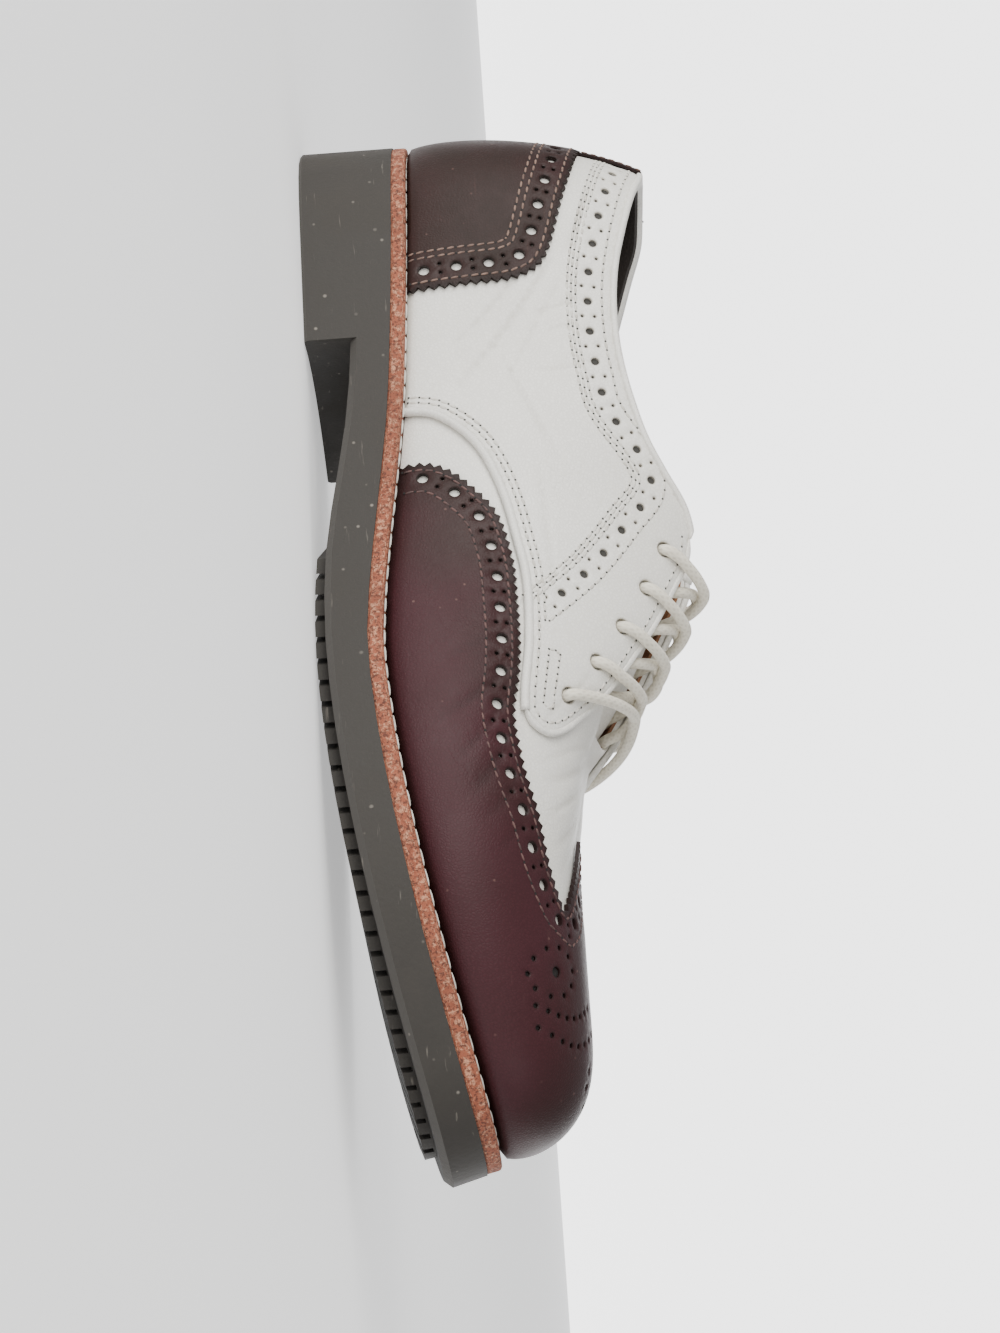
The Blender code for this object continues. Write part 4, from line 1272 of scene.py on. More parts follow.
@dataclass(frozen=True)
class LaceFinish:
    """Round braided cotton lace."""

    name: str = "cotton_lace"
    base: tuple = (0.76, 0.715, 0.60, 1.0)
    shade: tuple = (0.46, 0.40, 0.30, 1.0)

    def make(self, shop: Workshop) -> Material:
        """Build the material from the braid and its fuzz, with painted shade in the grooves between the
        strands.
        """
        material, n, shader, place = shop.start(self.name)
        uv = n.add("ShaderNodeUVMap", uv_map="UVMap").outputs["UV"]
        braid = shop.use(n, "braid", Vector=uv)
        # painted shade in the grooves between the strands
        groove_shade = n.less(1.0, n.ramp(braid.outputs["Height"], 0.45, 0.95))
        color = n.tint(self.base, groove_shade, 0.28, self.shade)
        color = n.tint(color, n.ramp(n.noise(place, 300.0, 3.0), 0.5, 0.7), 0.18, self.shade)
        height = n.plus(braid.outputs["Height"], n.times(braid.outputs["Fuzz"], 0.35))
        shop.finish(n, shader, color, height, 0.16 * MM, Roughness=0.85, Sheen_Weight=0.25)
        return material


@dataclass(frozen=True)
class DarkFinish:
    """Painted shade: the plain dark colour put in a hole or on a shaded edge."""

    name: str
    base: tuple

    def make(self, shop: Workshop) -> Material:
        """Build the material."""
        material, n, shader, place = shop.start(self.name)
        deeper = tuple(c * 0.6 for c in self.base[:3]) + (1.0,)
        shop.finish(n, shader, n.tint(self.base, n.noise(place, 1500.0, 2.0), 1.0, deeper), Roughness=0.9)
        return material


@dataclass
class Finishes:
    """Every finish of the shoe."""

    white: Material
    oxblood: Material
    lining: Material
    heel_lining: Material
    rubber: Material
    welt: Material
    lace: Material
    white_thread: Material
    dark_thread: Material
    beige_thread: Material
    # the next two: painted shade for needle holes and for the discs under punched holes
    hole: Material
    grey_hole_shade: Material

    @classmethod
    def make(cls) -> "Finishes":
        """Make them all."""
        shop = Workshop()
        made = {
            "white": LeatherFinish(
                "white_calf", (0.80, 0.785, 0.735, 1), (0.71, 0.69, 0.635, 1), (0.77, 0.75, 0.695, 1),
                (0.32, 0.29, 0.23, 1), 0.40, 1000.0, 0.06 * MM, 0.9, 0.05, (0.45, 0.40, 0.33, 1)),
            "oxblood": LeatherFinish(
                "oxblood_calf", (0.027, 0.0102, 0.0090, 1), (0.017, 0.0090, 0.0064, 1),
                (0.044, 0.0125, 0.0160, 1), (0.009, 0.005, 0.004, 1), 0.46, 1150.0, 0.055 * MM, 0.6, 0.30,
                (0.13, 0.07, 0.06, 1), 1.0, 0.17),
            "lining": LeatherFinish(
                "tan_lining", (0.26, 0.12, 0.058, 1), (0.19, 0.085, 0.040, 1), (0.30, 0.15, 0.08, 1),
                (0.10, 0.045, 0.02, 1), 0.55),
            "heel_lining": LeatherFinish(
                "heel_grip", (0.030, 0.024, 0.020, 1), (0.02, 0.016, 0.014, 1), (0.045, 0.034, 0.027, 1),
                (0.01, 0.008, 0.008, 1), 0.75),
            "rubber": RubberFinish(),
            "welt": WeltFinish(),
            "lace": LaceFinish(),
            "white_thread": ThreadFinish("white_thread", (0.70, 0.68, 0.62, 1), (0.55, 0.52, 0.46, 1)),
            "dark_thread": ThreadFinish("plum_thread", (0.105, 0.052, 0.046, 1), (0.05, 0.026, 0.024, 1)),
            "beige_thread": ThreadFinish("beige_thread", (0.20, 0.125, 0.095, 1), (0.11, 0.065, 0.05, 1)),
            # painted shade for holes
            "hole": DarkFinish("deep_hole_shade", (0.012, 0.010, 0.009, 1)),
            "grey_hole_shade": DarkFinish("shaded_hole", (0.055, 0.052, 0.047, 1)),
        }
        return cls(**{key: finish.make(shop) for key, finish in made.items()})


@dataclass
class Edges:
    """The cut lines of the upper, as routes over the last."""

    last: Last

    # round (1 at the welt, 0 on the ridge), turn
    wing_side: tuple = (
        (1.000, 0.425), (0.940, 0.425), (0.892, 0.430), (0.840, 0.440), (0.762, 0.460), (0.703, 0.490),
        (0.675, 0.517), (0.652, 0.545), (0.635, 0.573), (0.608, 0.602), (0.565, 0.640), (0.518, 0.667),
        (0.450, 0.705), (0.360, 0.743),
    )
    wing_point: tuple = ((0.360, 0.743), (0.250, 0.730), (0.140, 0.715), (0.060, 0.702), (0.000, 0.691))
    # turn, up
    quarter_front: tuple = (
        (0.388, 0.000), (0.393, 0.065), (0.413, 0.152), (0.443, 0.228), (0.475, 0.290), (0.503, 0.335),
        (0.542, 0.367), (0.573, 0.383), (0.593, 0.417),
    )
    lobe: tuple = ((0.593, 0.417), (0.603, 0.470), (0.608, 0.552), (0.601, 0.640), (0.586, 0.700))
    facing: tuple = (
        (0.586, 0.700), (0.565, 0.723), (0.545, 0.745), (0.520, 0.770), (0.495, 0.784), (0.470, 0.790),
        (0.455, 0.765),
    )
    band_end: tuple = ((0.425, 0.578), (0.458, 0.540), (0.490, 0.487), (0.510, 0.430), (0.524, 0.378))
    foxing_top: tuple = (
        (0.000, 0.355), (0.080, 0.345), (0.155, 0.323), (0.220, 0.288), (0.262, 0.262), (0.281, 0.238),
        (0.290, 0.205), (0.295, 0.167), (0.298, 0.105), (0.302, 0.000),
    )
    eyelets: tuple = ((0.468, 0.682), (0.497, 0.670), (0.527, 0.638), (0.555, 0.597), (0.580, 0.552))
    tooth: float = 2.8 * MM
    tooth_depth: float = 1.2 * MM
    wing_foot: float = 0.425
    foxing_foot: float = 0.302

    def half_wing(self) -> Array:
        """The wing's rear edge from the inner welt to its point on the ridge."""
        side = smooth_route(self.wing_side, 160)
        point = smooth_route(self.wing_point, 50)[1:]
        rows = np.vstack([side, point])
        return joined(rows[:, 1], -rows[:, 0])

    def wing(self) -> Array:
        """The wing's rear edge from the inner welt to the outer welt."""
        half = self.half_wing()
        return np.vstack([half, half[::-1][1:] * (1, -1)])

    def on_side(self, rows: tuple, side: Side, count: int = 120) -> Array:
        """A route of turn and up, as turn and across on a side."""
        route = smooth_route(rows, count)
        return joined(route[:, 0], side.value * (1 - route[:, 1]))

    def topline(self, side: Side, first: float = 0.455, last_turn: float = 0.0015) -> Array:
        """The collar's edge from the throat to the back seam."""
        turns = np.linspace(first, last_turn, 160)
        return joined(turns, side.value * (1 - self.last.top_edge(turns, side.value)))

    def collar_round(self) -> Array:
        """The collar's edge from the inner corner round the back to the outer corner."""
        inner = self.topline(Side.INNER, last_turn=0.0)
        outer = self.topline(Side.OUTER, last_turn=0.0)[::-1][1:]
        return np.vstack([inner, outer * (-1, -1)])

    def foxing(self) -> Array:
        """The heel panel's edge from the outer foot over the back to the inner foot."""
        half = smooth_route(self.foxing_top[::-1], 110)
        inner = joined(half[:, 0], half[:, 1] - 1)
        return np.vstack([inner * (-1, 1), inner[::-1][1:]])

    def welt_line(self, first: float, last_turn: float, across: float) -> Array:
        """A stretch of the line where the upper meets the welt."""
        turns = np.linspace(first, last_turn, 200)
        return self.last.even(joined(turns, across), 1.5 * MM)

    def pinked(self, tips: Array) -> Array:
        """A saw-toothed cut along a line of tips: every fourth point stays and the third goes deepest.

        Args:
            tips: rows of turn and across, with the leather on the right of their direction.

        Returns:
            The toothed line.
        """
        line = self.last.even(tips, self.tooth / 4)
        left = self.last.course(line)[2]
        cut = np.array([0.0, 0.5, 1.0, 0.5])[np.arange(len(line)) % 4] * self.tooth_depth
        cut[0] = cut[-1] = 0.0
        return self.last.walk(line, -left * cut[:, None])


WHITE_FOLDS = (
    Crease(0.262, 0.235, 0.345, 0.075, 0.004, 1.1 * MM, 0.46 * MM),
    Crease(0.272, 0.262, 0.372, 0.100, 0.005, 1.4 * MM, 0.55 * MM),
    Crease(0.290, 0.285, 0.385, 0.175, -0.004, 1.0 * MM, 0.36 * MM),
    Crease(0.300, 0.330, 0.318, 0.205, 0.004, 1.1 * MM, 0.36 * MM),
    Crease(0.325, 0.345, 0.335, 0.240, -0.003, 0.9 * MM, 0.30 * MM),
    Crease(0.350, 0.360, 0.360, 0.250, 0.003, 1.0 * MM, 0.30 * MM),
    Crease(0.180, 0.365, 0.262, 0.300, 0.004, 1.2 * MM, 0.32 * MM),
    Crease(0.340, 0.150, 0.420, 0.330, 0.004, 1.4 * MM, 0.32 * MM),
    Crease(0.420, 0.280, 0.520, 0.420, -0.003, 1.2 * MM, 0.27 * MM),
    Crease(0.560, 0.600, 0.600, 0.500, 0.002, 1.0 * MM, 0.27 * MM),
)
VAMP_FOLDS = (
    Crease(0.622, 0.960, 0.640, 0.560, 0.004, 1.6 * MM, 0.38 * MM),
    Crease(0.640, 0.940, 0.662, 0.580, 0.003, 1.3 * MM, 0.31 * MM),
    Crease(0.612, 0.900, 0.628, 0.520, -0.003, 1.2 * MM, 0.29 * MM),
    Crease(0.660, 0.960, 0.690, 0.620, 0.004, 1.5 * MM, 0.29 * MM),
    Crease(0.655, 0.820, 0.668, 0.540, -0.002, 0.9 * MM, 0.20 * MM),
    Crease(0.680, 0.900, 0.712, 0.680, 0.002, 1.0 * MM, 0.20 * MM),
)
WING_FOLDS = (
    Crease(0.560, 0.345, 0.600, 0.120, 0.006, 1.6 * MM, 0.34 * MM),
    Crease(0.585, 0.360, 0.628, 0.160, 0.004, 1.3 * MM, 0.37 * MM),
    Crease(0.605, 0.385, 0.650, 0.190, 0.005, 1.8 * MM, 0.41 * MM),
    Crease(0.632, 0.420, 0.668, 0.220, 0.003, 1.2 * MM, 0.31 * MM),
    Crease(0.655, 0.440, 0.690, 0.260, 0.004, 1.4 * MM, 0.27 * MM),
    Crease(0.535, 0.310, 0.560, 0.130, 0.003, 1.2 * MM, 0.20 * MM),
)


@dataclass
class Upper:
    """The vamp, its lining, the quarters, the tongue and the rolled edges."""

    last: Last
    edges: Edges
    finish: Finishes
    wall: float = 2.0 * MM
    cover: float = 1.7 * MM
    eyelet: float = 2.1 * MM
    band_hole: float = 1.15 * MM
    band_pin: float = 0.45 * MM
    band_pitch: float = 9.3 * MM
    band_rows: tuple = (3.4 * MM, 4.6 * MM, 5.7 * MM, -3.8 * MM)
    band_below: float = 7.0 * MM
    pin_gap: float = 1.7 * MM
    seam_inset: float = 4.1 * MM
    seam_share: float = 0.74
    edge_inset: float = 2.5 * MM
    tack_turns: tuple = (0.548, 0.5925)
    tack_insets: tuple = (5.2 * MM, 8.2 * MM)
    pipe_lift: float = 1.25 * MM
    pipe_radius: float = 1.2 * MM
    # lift past the edge, outer side, inner side
    facing_roll: tuple = (0.8 * MM, 2.0 * MM, 0.2 * MM)
    collar_roll: tuple = (1.1 * MM, 2.45 * MM, -0.9 * MM)
    vamp_thick: float = 1.2 * MM
    lining_top: float = 1.25 * MM
    tongue_sink: float = 1.25 * MM
    tongue_dip: float = 6 * MM
    tongue_thick: float = 2.0 * MM

    def shell(self, name: str, high: float, low: float, material: Material, slot: Slot,
              creases: Creases = None) -> SceneObject:
        """A wall of the lasted upper, open at the collar, the throat and underneath.

        Its grid has a row for each place round the shoe and runs from the welt to the top edge.

        Args:
            name: the piece's name.
            high: outer face off the last.
            low: inner face off the last.
            material: its finish.
            slot: a Slot, handed on to mesh_object.
            creases: folds of its outer face, if any.

        Returns:
            The object.
        """
        first = self.last.throat[0][0]
        stops = ((0, first, 66), (first, 0.6, 26), (0.6, 0.76, 56), (0.76, 1, 32))
        turns = np.unique(np.concatenate([np.linspace(*stop) for stop in stops]))
        turns = np.concatenate([turns, turns[::-1][1:-1]])
        side = np.where(np.arange(len(turns)) <= len(turns) // 2, -1.0, 1.0)
        top = self.last.rim_up(turns, side)
        up = np.linspace(0, 1, 40)[None, :] * np.where(top > 1 - 1e-6, 1.0, top)[:, None]
        turn = np.broadcast_to(turns[:, None], up.shape)
        across = side[:, None] * (1 - up)
        places = joined(turn, across).reshape(-1, 2)
        fold = creases.heights(places) if creases else np.zeros(len(places))
        outer = self.last.skin(*places.T, high + fold).reshape(up.shape + (3,))
        points, faces = slab_parts(outer, self.last.skin(turn, across, low), True)
        obj = mesh_object(name, points, faces, material, slot, 60)
        Creases.mark(obj, fold, np.zeros(len(fold)))
        return obj

    def rolled(self, name: str, path: Array, lift: float, high: float, low: float) -> SceneObject:
        """A turned leather edge: half an ellipse carried along an edge, closed underneath.

        Args:
            name: the piece's name.
            path: rows of turn and across along the edge, with the open side on the right.
            lift: how far it stands past the edge.
            high: its outer side off the last.
            low: its inner side off the last.

        Returns:
            The object.
        """
        path = self.last.even(path)
        points, normal, left = self.last.course(path)
        angle = np.linspace(0, np.pi, 13)
        out = (high + low) / 2 + (high - low) / 2 * np.cos(angle)
        out = np.append(out, [low + 0.3 * MM, high - 0.35 * MM, high - 0.04 * MM])
        rise = np.append(lift * np.sin(angle) ** 0.8, [-0.9 * MM, -0.9 * MM, -0.5 * MM])
        from_end = np.minimum(np.arange(len(path)), np.arange(len(path))[::-1])
        fade = np.maximum(np.sin(np.pi / 2 * np.clip(from_end / 3, 0, 1)), 0.15)
        body = ((points + self.last.shift)[:, None, :] + normal[:, None, :] * out[:, None]
                - left[:, None, :] * (rise * fade[:, None])[..., None])
        faces = loft_faces(*body.shape[:2])
        return fix_normals(mesh_object(name, body.reshape(-1, 3), faces, self.finish.white, Slot.WHITE, 180))

    def band_line(self, side: Side) -> Array:
        """The line of the punched band: below the collar, then slanting down to the vamp seam."""
        collar = self.edges.topline(side, 0.385, 0.03)
        below = self.last.beside(self.last.even(collar, 1.5 * MM), self.band_below * -side.value)[::-1][::7]
        end = np.array(self.edges.band_end)
        end = joined(end[:, 0], side.value * (1 - end[:, 1]))
        return smooth_route(np.vstack([below, end]), 400)

    def quarter(self, name: str, side: Side, seam: Seam) -> None:
        """A quarter: its leather with the punched band, its stitches, eyelets and piped front edge.

        Args:
            name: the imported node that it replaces.
            side: the side of the foot it is on.
            seam: the white stitches.
        """
        s = side.value
        front, lobe, facing = (self.edges.on_side(rows, side) for rows in
                               (self.edges.quarter_front, self.edges.lobe, self.edges.facing))
        collar = self.edges.topline(side)
        seam_turn, seam_across = collar[-1]
        back = joined(seam_turn, np.linspace(seam_across, s, 80))
        welt = joined(np.linspace(seam_turn, front[0, 0], 150), s)
        line = np.vstack([part[:-1] for part in (front, lobe, facing, collar, back, welt)])
        panel = Panel(self.last, name + "_leather", self.finish.white, Slot.WHITE, high=self.cover,
                      spacing=1.35 * MM, creases=Creases(self.last, WHITE_FOLDS, (s,)))
        band = self.last.even(self.band_line(side), self.band_pitch / 2)
        big, *pins = band[:-1:2], *(self.last.beside(band, gap, False)[1::2]
                                  for gap in (self.pin_gap, -self.pin_gap))
        panel.punch(big, self.band_hole, 12)
        for spots in pins:
            panel.punch(spots, self.band_pin, 8)
        panel.punch(np.array([(t, s * (1 - u)) for t, u in self.edges.eyelets]), self.eyelet, 16)
        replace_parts(panel.build(self.last.even(line, 1.1 * MM, closed=True)), name)
        # dark discs under the band's holes: painted shade
        hole_shade_discs(self.last, name + "_band_hole_shade", np.vstack([big, *pins]), self.band_hole * 1.25,
                self.finish.grey_hole_shade)
        seam.rows(self.band_line(side), [gap * s for gap in self.band_rows], self.cover)
        edge = self.last.even(front)
        seam.row(self.last.beside(edge, self.seam_inset * -s)[:int(len(edge) * self.seam_share)], self.cover)
        seam.rows(np.vstack([front[:-1], lobe[:-1], facing]), [self.edge_inset * -s], self.cover)
        self.tack(front, s)
        pipe = self.last.skin(*self.last.even(front, 1.0 * MM).T, self.pipe_lift)
        points, faces, _ = tube_parts(pipe, self.pipe_radius)
        fix_normals(mesh_object(name + "_piping", points, faces, self.finish.white, Slot.WHITE, 180))
        path = np.vstack([lobe[:-1], facing])
        self.rolled(name + "_facing_edge", path if s < 0 else path[::-1], *self.facing_roll)

    def tack(self, front: Array, side: float) -> None:
        """The long narrow loop of fine stitches that holds the facing to the vamp."""
        first, end = self.tack_turns
        part = self.last.even(front[(front[:, 0] > first) & (front[:, 0] < end)], 0.8 * MM)
        near, far = (self.last.beside(part, gap * -side, False) for gap in self.tack_insets)
        loop = smooth_route(np.vstack([near[::3], far[::3][::-1], near[:1]]), 240)
        fine = Seam(self.last, 0.36 * MM, 1.9 * MM)
        fine.row(loop, self.cover)
        name = "tack_inner" if side < 0 else "tack_outer"
        fine.build(name, self.finish.white_thread, self.finish.grey_hole_shade, Slot.WHITE)

    def tongue(self) -> None:
        """The tongue: a slab that follows the last below the facings and dips at its top."""
        places = np.linspace(0.457, 0.614, 60)
        half = np.interp(places, (0.457, 0.47, 0.614), (0.20, 0.335, 0.26))
        across = np.linspace(-1, 1, 41)[None, :] * half[:, None]
        turns = np.broadcast_to(places[:, None], across.shape)
        share = np.linspace(1, 0, 60)[:, None]
        top = -self.wall - self.tongue_sink - self.tongue_dip * share ** 2 + 0 * across
        skins = (self.last.skin(turns, across, top - drop) for drop in (0.0, self.tongue_thick))
        points, faces = slab_parts(*skins)
        obj = fix_normals(mesh_object("tongue_leather", points, faces, self.finish.white, Slot.WHITE, 60))
        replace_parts(obj, "tongue")

    def build(self, seam: Seam) -> None:
        """Make the whole upper but for the dark leathers."""
        folds = Creases(self.last, VAMP_FOLDS)
        vamp = self.shell("vamp", 0.0, -self.vamp_thick, self.finish.white, Slot.WHITE, folds)
        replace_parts(vamp, "upper")
        self.shell("lining", -self.lining_top, -self.wall, self.finish.lining, Slot.LINING)
        self.quarter("quarter_inner", Side.INNER, seam)
        self.quarter("quarter_outer", Side.OUTER, seam)
        self.rolled("collar_roll", self.edges.collar_round(), *self.collar_roll)
        self.heel_grip()
        self.tongue()

    def heel_grip(self) -> None:
        """The dark grip that lines the back of the heel inside."""
        turns = np.linspace(-0.33, 0.33, 120)
        top = self.last.rim_up(np.abs(turns), -np.sign(turns))[:, None]
        up = 0.02 + np.linspace(0, 1, 24)[None, :] * (top - 0.015)
        turn = np.broadcast_to(turns[:, None], up.shape)
        outer = self.last.skin(turn, up - 1, -0.95 * MM - 1.1 * MM * np.clip((top - up) / 0.02, 0, 1))
        inner = self.last.skin(turn, up - 1, -self.wall - 0.8 * MM)
        points, faces = slab_parts(outer, inner)
        fix_normals(mesh_object("heel_grip", points, faces, self.finish.heel_lining, Slot.LINING, 60))


@dataclass
class DarkLeathers:
    """The wing cap and the heel panel, with their toothed edges, punching and stitches."""

    last: Last
    edges: Edges
    finish: Finishes
    hole: float = 1.45 * MM
    pin: float = 0.5 * MM
    high: float = 1.7 * MM
    heel_low: float = 2.0 * MM
    heel_thick: float = 1.4 * MM
    strip_thick: float = 1.0 * MM
    strip_half: float = 0.089
    strip_low: float = 0.344
    strip_inset: float = 1.3 * MM
    pin_gap: float = 1.4 * MM
    # inset and pitch of the big holes
    wing_holes: tuple = (5.1 * MM, 9.6 * MM)
    heel_holes: tuple = (6.1 * MM, 8.6 * MM)
    wing_rows: tuple = (-2.6 * MM, -9.3 * MM)
    heel_rows: tuple = (-2.4 * MM, -9.9 * MM, -11.8 * MM)
    toe_pin: float = 0.62 * MM
    # the medallion in millimetres from the heel and from the centre line
    rosettes: tuple = ((257.0, 25.0), (257.0, -25.0), (249.0, 0.5))
    rosette_radii: tuple = (6.2, 5.6)
    # start, end, depth
    scallops: tuple = (((266.0, 27.0), (261.5, 10.0), 3.2), ((271.0, 25.0), (266.5, 5.0), 4.0))
    tail: tuple = ((275.5, 4.2), (275.5, -4.2), (279.0, 2.8), (279.0, -2.8), (282.0, 0.6), (271.0, 0.8))

    def brogue(self, panel: Panel, tips: Array, inset: float, pitch: float) -> None:
        """Punch the row of big holes with pairs of pin holes between, beside a toothed edge.

        Args:
            panel: the leather to punch.
            tips: the edge's line, with the leather on its right.
            inset: distance of the big holes from the edge.
            pitch: distance between big holes.
        """
        line = self.last.even(tips)
        middle = self.last.even(self.last.beside(line, -inset), pitch / 2)
        panel.punch(middle[1::2], self.hole, 14)
        for gap in (self.pin_gap, -self.pin_gap):
            panel.punch(self.last.beside(middle, gap, False)[2:-1:2], self.pin, 8)

    def at_plan(self, spots: Array) -> Array:
        """Places on the toe for points seen from above, solved step by step.

        Args:
            spots: rows of x and y before the shift.

        Returns:
            Rows of turn and across.
        """
        here = joined(0.82, np.sign(spots[:, 1] + 1e-9) * 0.4)
        for _ in range(40):
            du, dv, _ = self.last.tangents(*here.T)
            miss = spots - self.last.bare(*here.T)[:, :2]
            det = du[:, 0] * dv[:, 1] - du[:, 1] * dv[:, 0]
            step = joined(miss[:, 0] * dv[:, 1] - miss[:, 1] * dv[:, 0],
                          du[:, 0] * miss[:, 1] - du[:, 1] * miss[:, 0]) / det[:, None]
            here += np.clip(step, -0.03, 0.03) * 0.7
            side = np.where(spots[:, 1] < 0, -1, 1)
            here[:, 1] = side * np.maximum(here[:, 1] * side, 0.01)
            here[:, 0] = np.clip(here[:, 0], 0.60, 0.995)
        return here

    def medallion(self, panel: Panel) -> None:
        """Punch the toe: rosettes beside and on the centre line, two scalloped rows and a tail.

        Each rosette is a big hole in a ring of pins. The rows are sums of a line and a sine.

        Args:
            panel: the leather to punch.
        """
        rosettes = np.array(self.rosettes)
        angle = np.linspace(0, 2 * np.pi, 10, endpoint=False)
        ring = joined(np.cos(angle), np.sin(angle)) * self.rosette_radii
        pins = [(rosettes[:, None, :] + ring[None, :, :]).reshape(-1, 2)]
        share = np.linspace(0, 1, 8)[:, None]
        for start, end, depth in self.scallops:
            row = np.array(start) * (1 - share) + np.array(end) * share
            row[:, :1] += depth * np.sin(np.pi * share)
            pins += [row, row * (1, -1)]
        pins.append(np.array(self.tail))
        big, small = self.at_plan(rosettes * MM), self.at_plan(np.vstack(pins) * MM)
        panel.punch(big, self.hole * 0.9, 14)
        panel.punch(small, self.toe_pin, 8)
        # dark discs under the toe's holes: painted shade
        hole_shade_discs(self.last, "medallion_hole_shade", np.vstack([big, small]), self.hole * 1.2, self.finish.hole)

    def wing_cap(self, seam: Seam) -> None:
        """The wing cap over the toe and along both sides, and its stitches."""
        tips = self.edges.wing()
        outer = self.edges.welt_line(self.edges.wing_foot, 1.0, 1.0)[1:]
        inner = self.edges.welt_line(1.0, self.edges.wing_foot, -1.0)[1:-1]
        panel = Panel(self.last, "wing_cap_leather", self.finish.oxblood, Slot.OXBLOOD, high=self.high,
                      creases=Creases(self.last, WING_FOLDS))
        self.brogue(panel, tips, *self.wing_holes)
        self.medallion(panel)
        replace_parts(panel.build(np.vstack([self.edges.pinked(tips), outer, inner])), "wing_cap")
        seam.rows(tips, self.wing_rows, self.high)

    def heel_panel(self, seam: Seam) -> None:
        """The heel panel round the back, the narrow strip above it, and their stitches."""
        low = self.heel_low
        high, strip_high = low + self.heel_thick, low + self.strip_thick
        tips = self.edges.foxing()
        foot = self.edges.foxing_foot
        welt = self.edges.welt_line(foot, -foot, -1.0)[1:-1]
        panel = Panel(self.last, "heel_panel_leather", self.finish.oxblood, Slot.OXBLOOD, low, high)
        self.brogue(panel, tips, *self.heel_holes)
        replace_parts(panel.build(np.vstack([self.edges.pinked(tips), welt])), "heel_foxing")
        seam.rows(tips, self.heel_rows, high)
        top = float(self.last.top_edge(np.array([0.0]), -1.0)[0])
        up = np.linspace(self.strip_low, top - 0.004, 60)
        half = self.strip_half
        sides = [joined(t, up - 1) for t in (half, -half)]
        ends = [joined(np.linspace(a, -a, 26)[1:-1], u - 1)
                for a, u in ((half, up[-1]), (-half, up[0]))]
        strip = Panel(self.last, "back_strip", self.finish.oxblood, Slot.OXBLOOD, low, strip_high)
        strip.build(np.vstack([sides[0], ends[0], sides[1][::-1], ends[1]]))
        for side, gap in zip(sides, (self.strip_inset, -self.strip_inset)):
            seam.rows(side, [gap], strip_high)


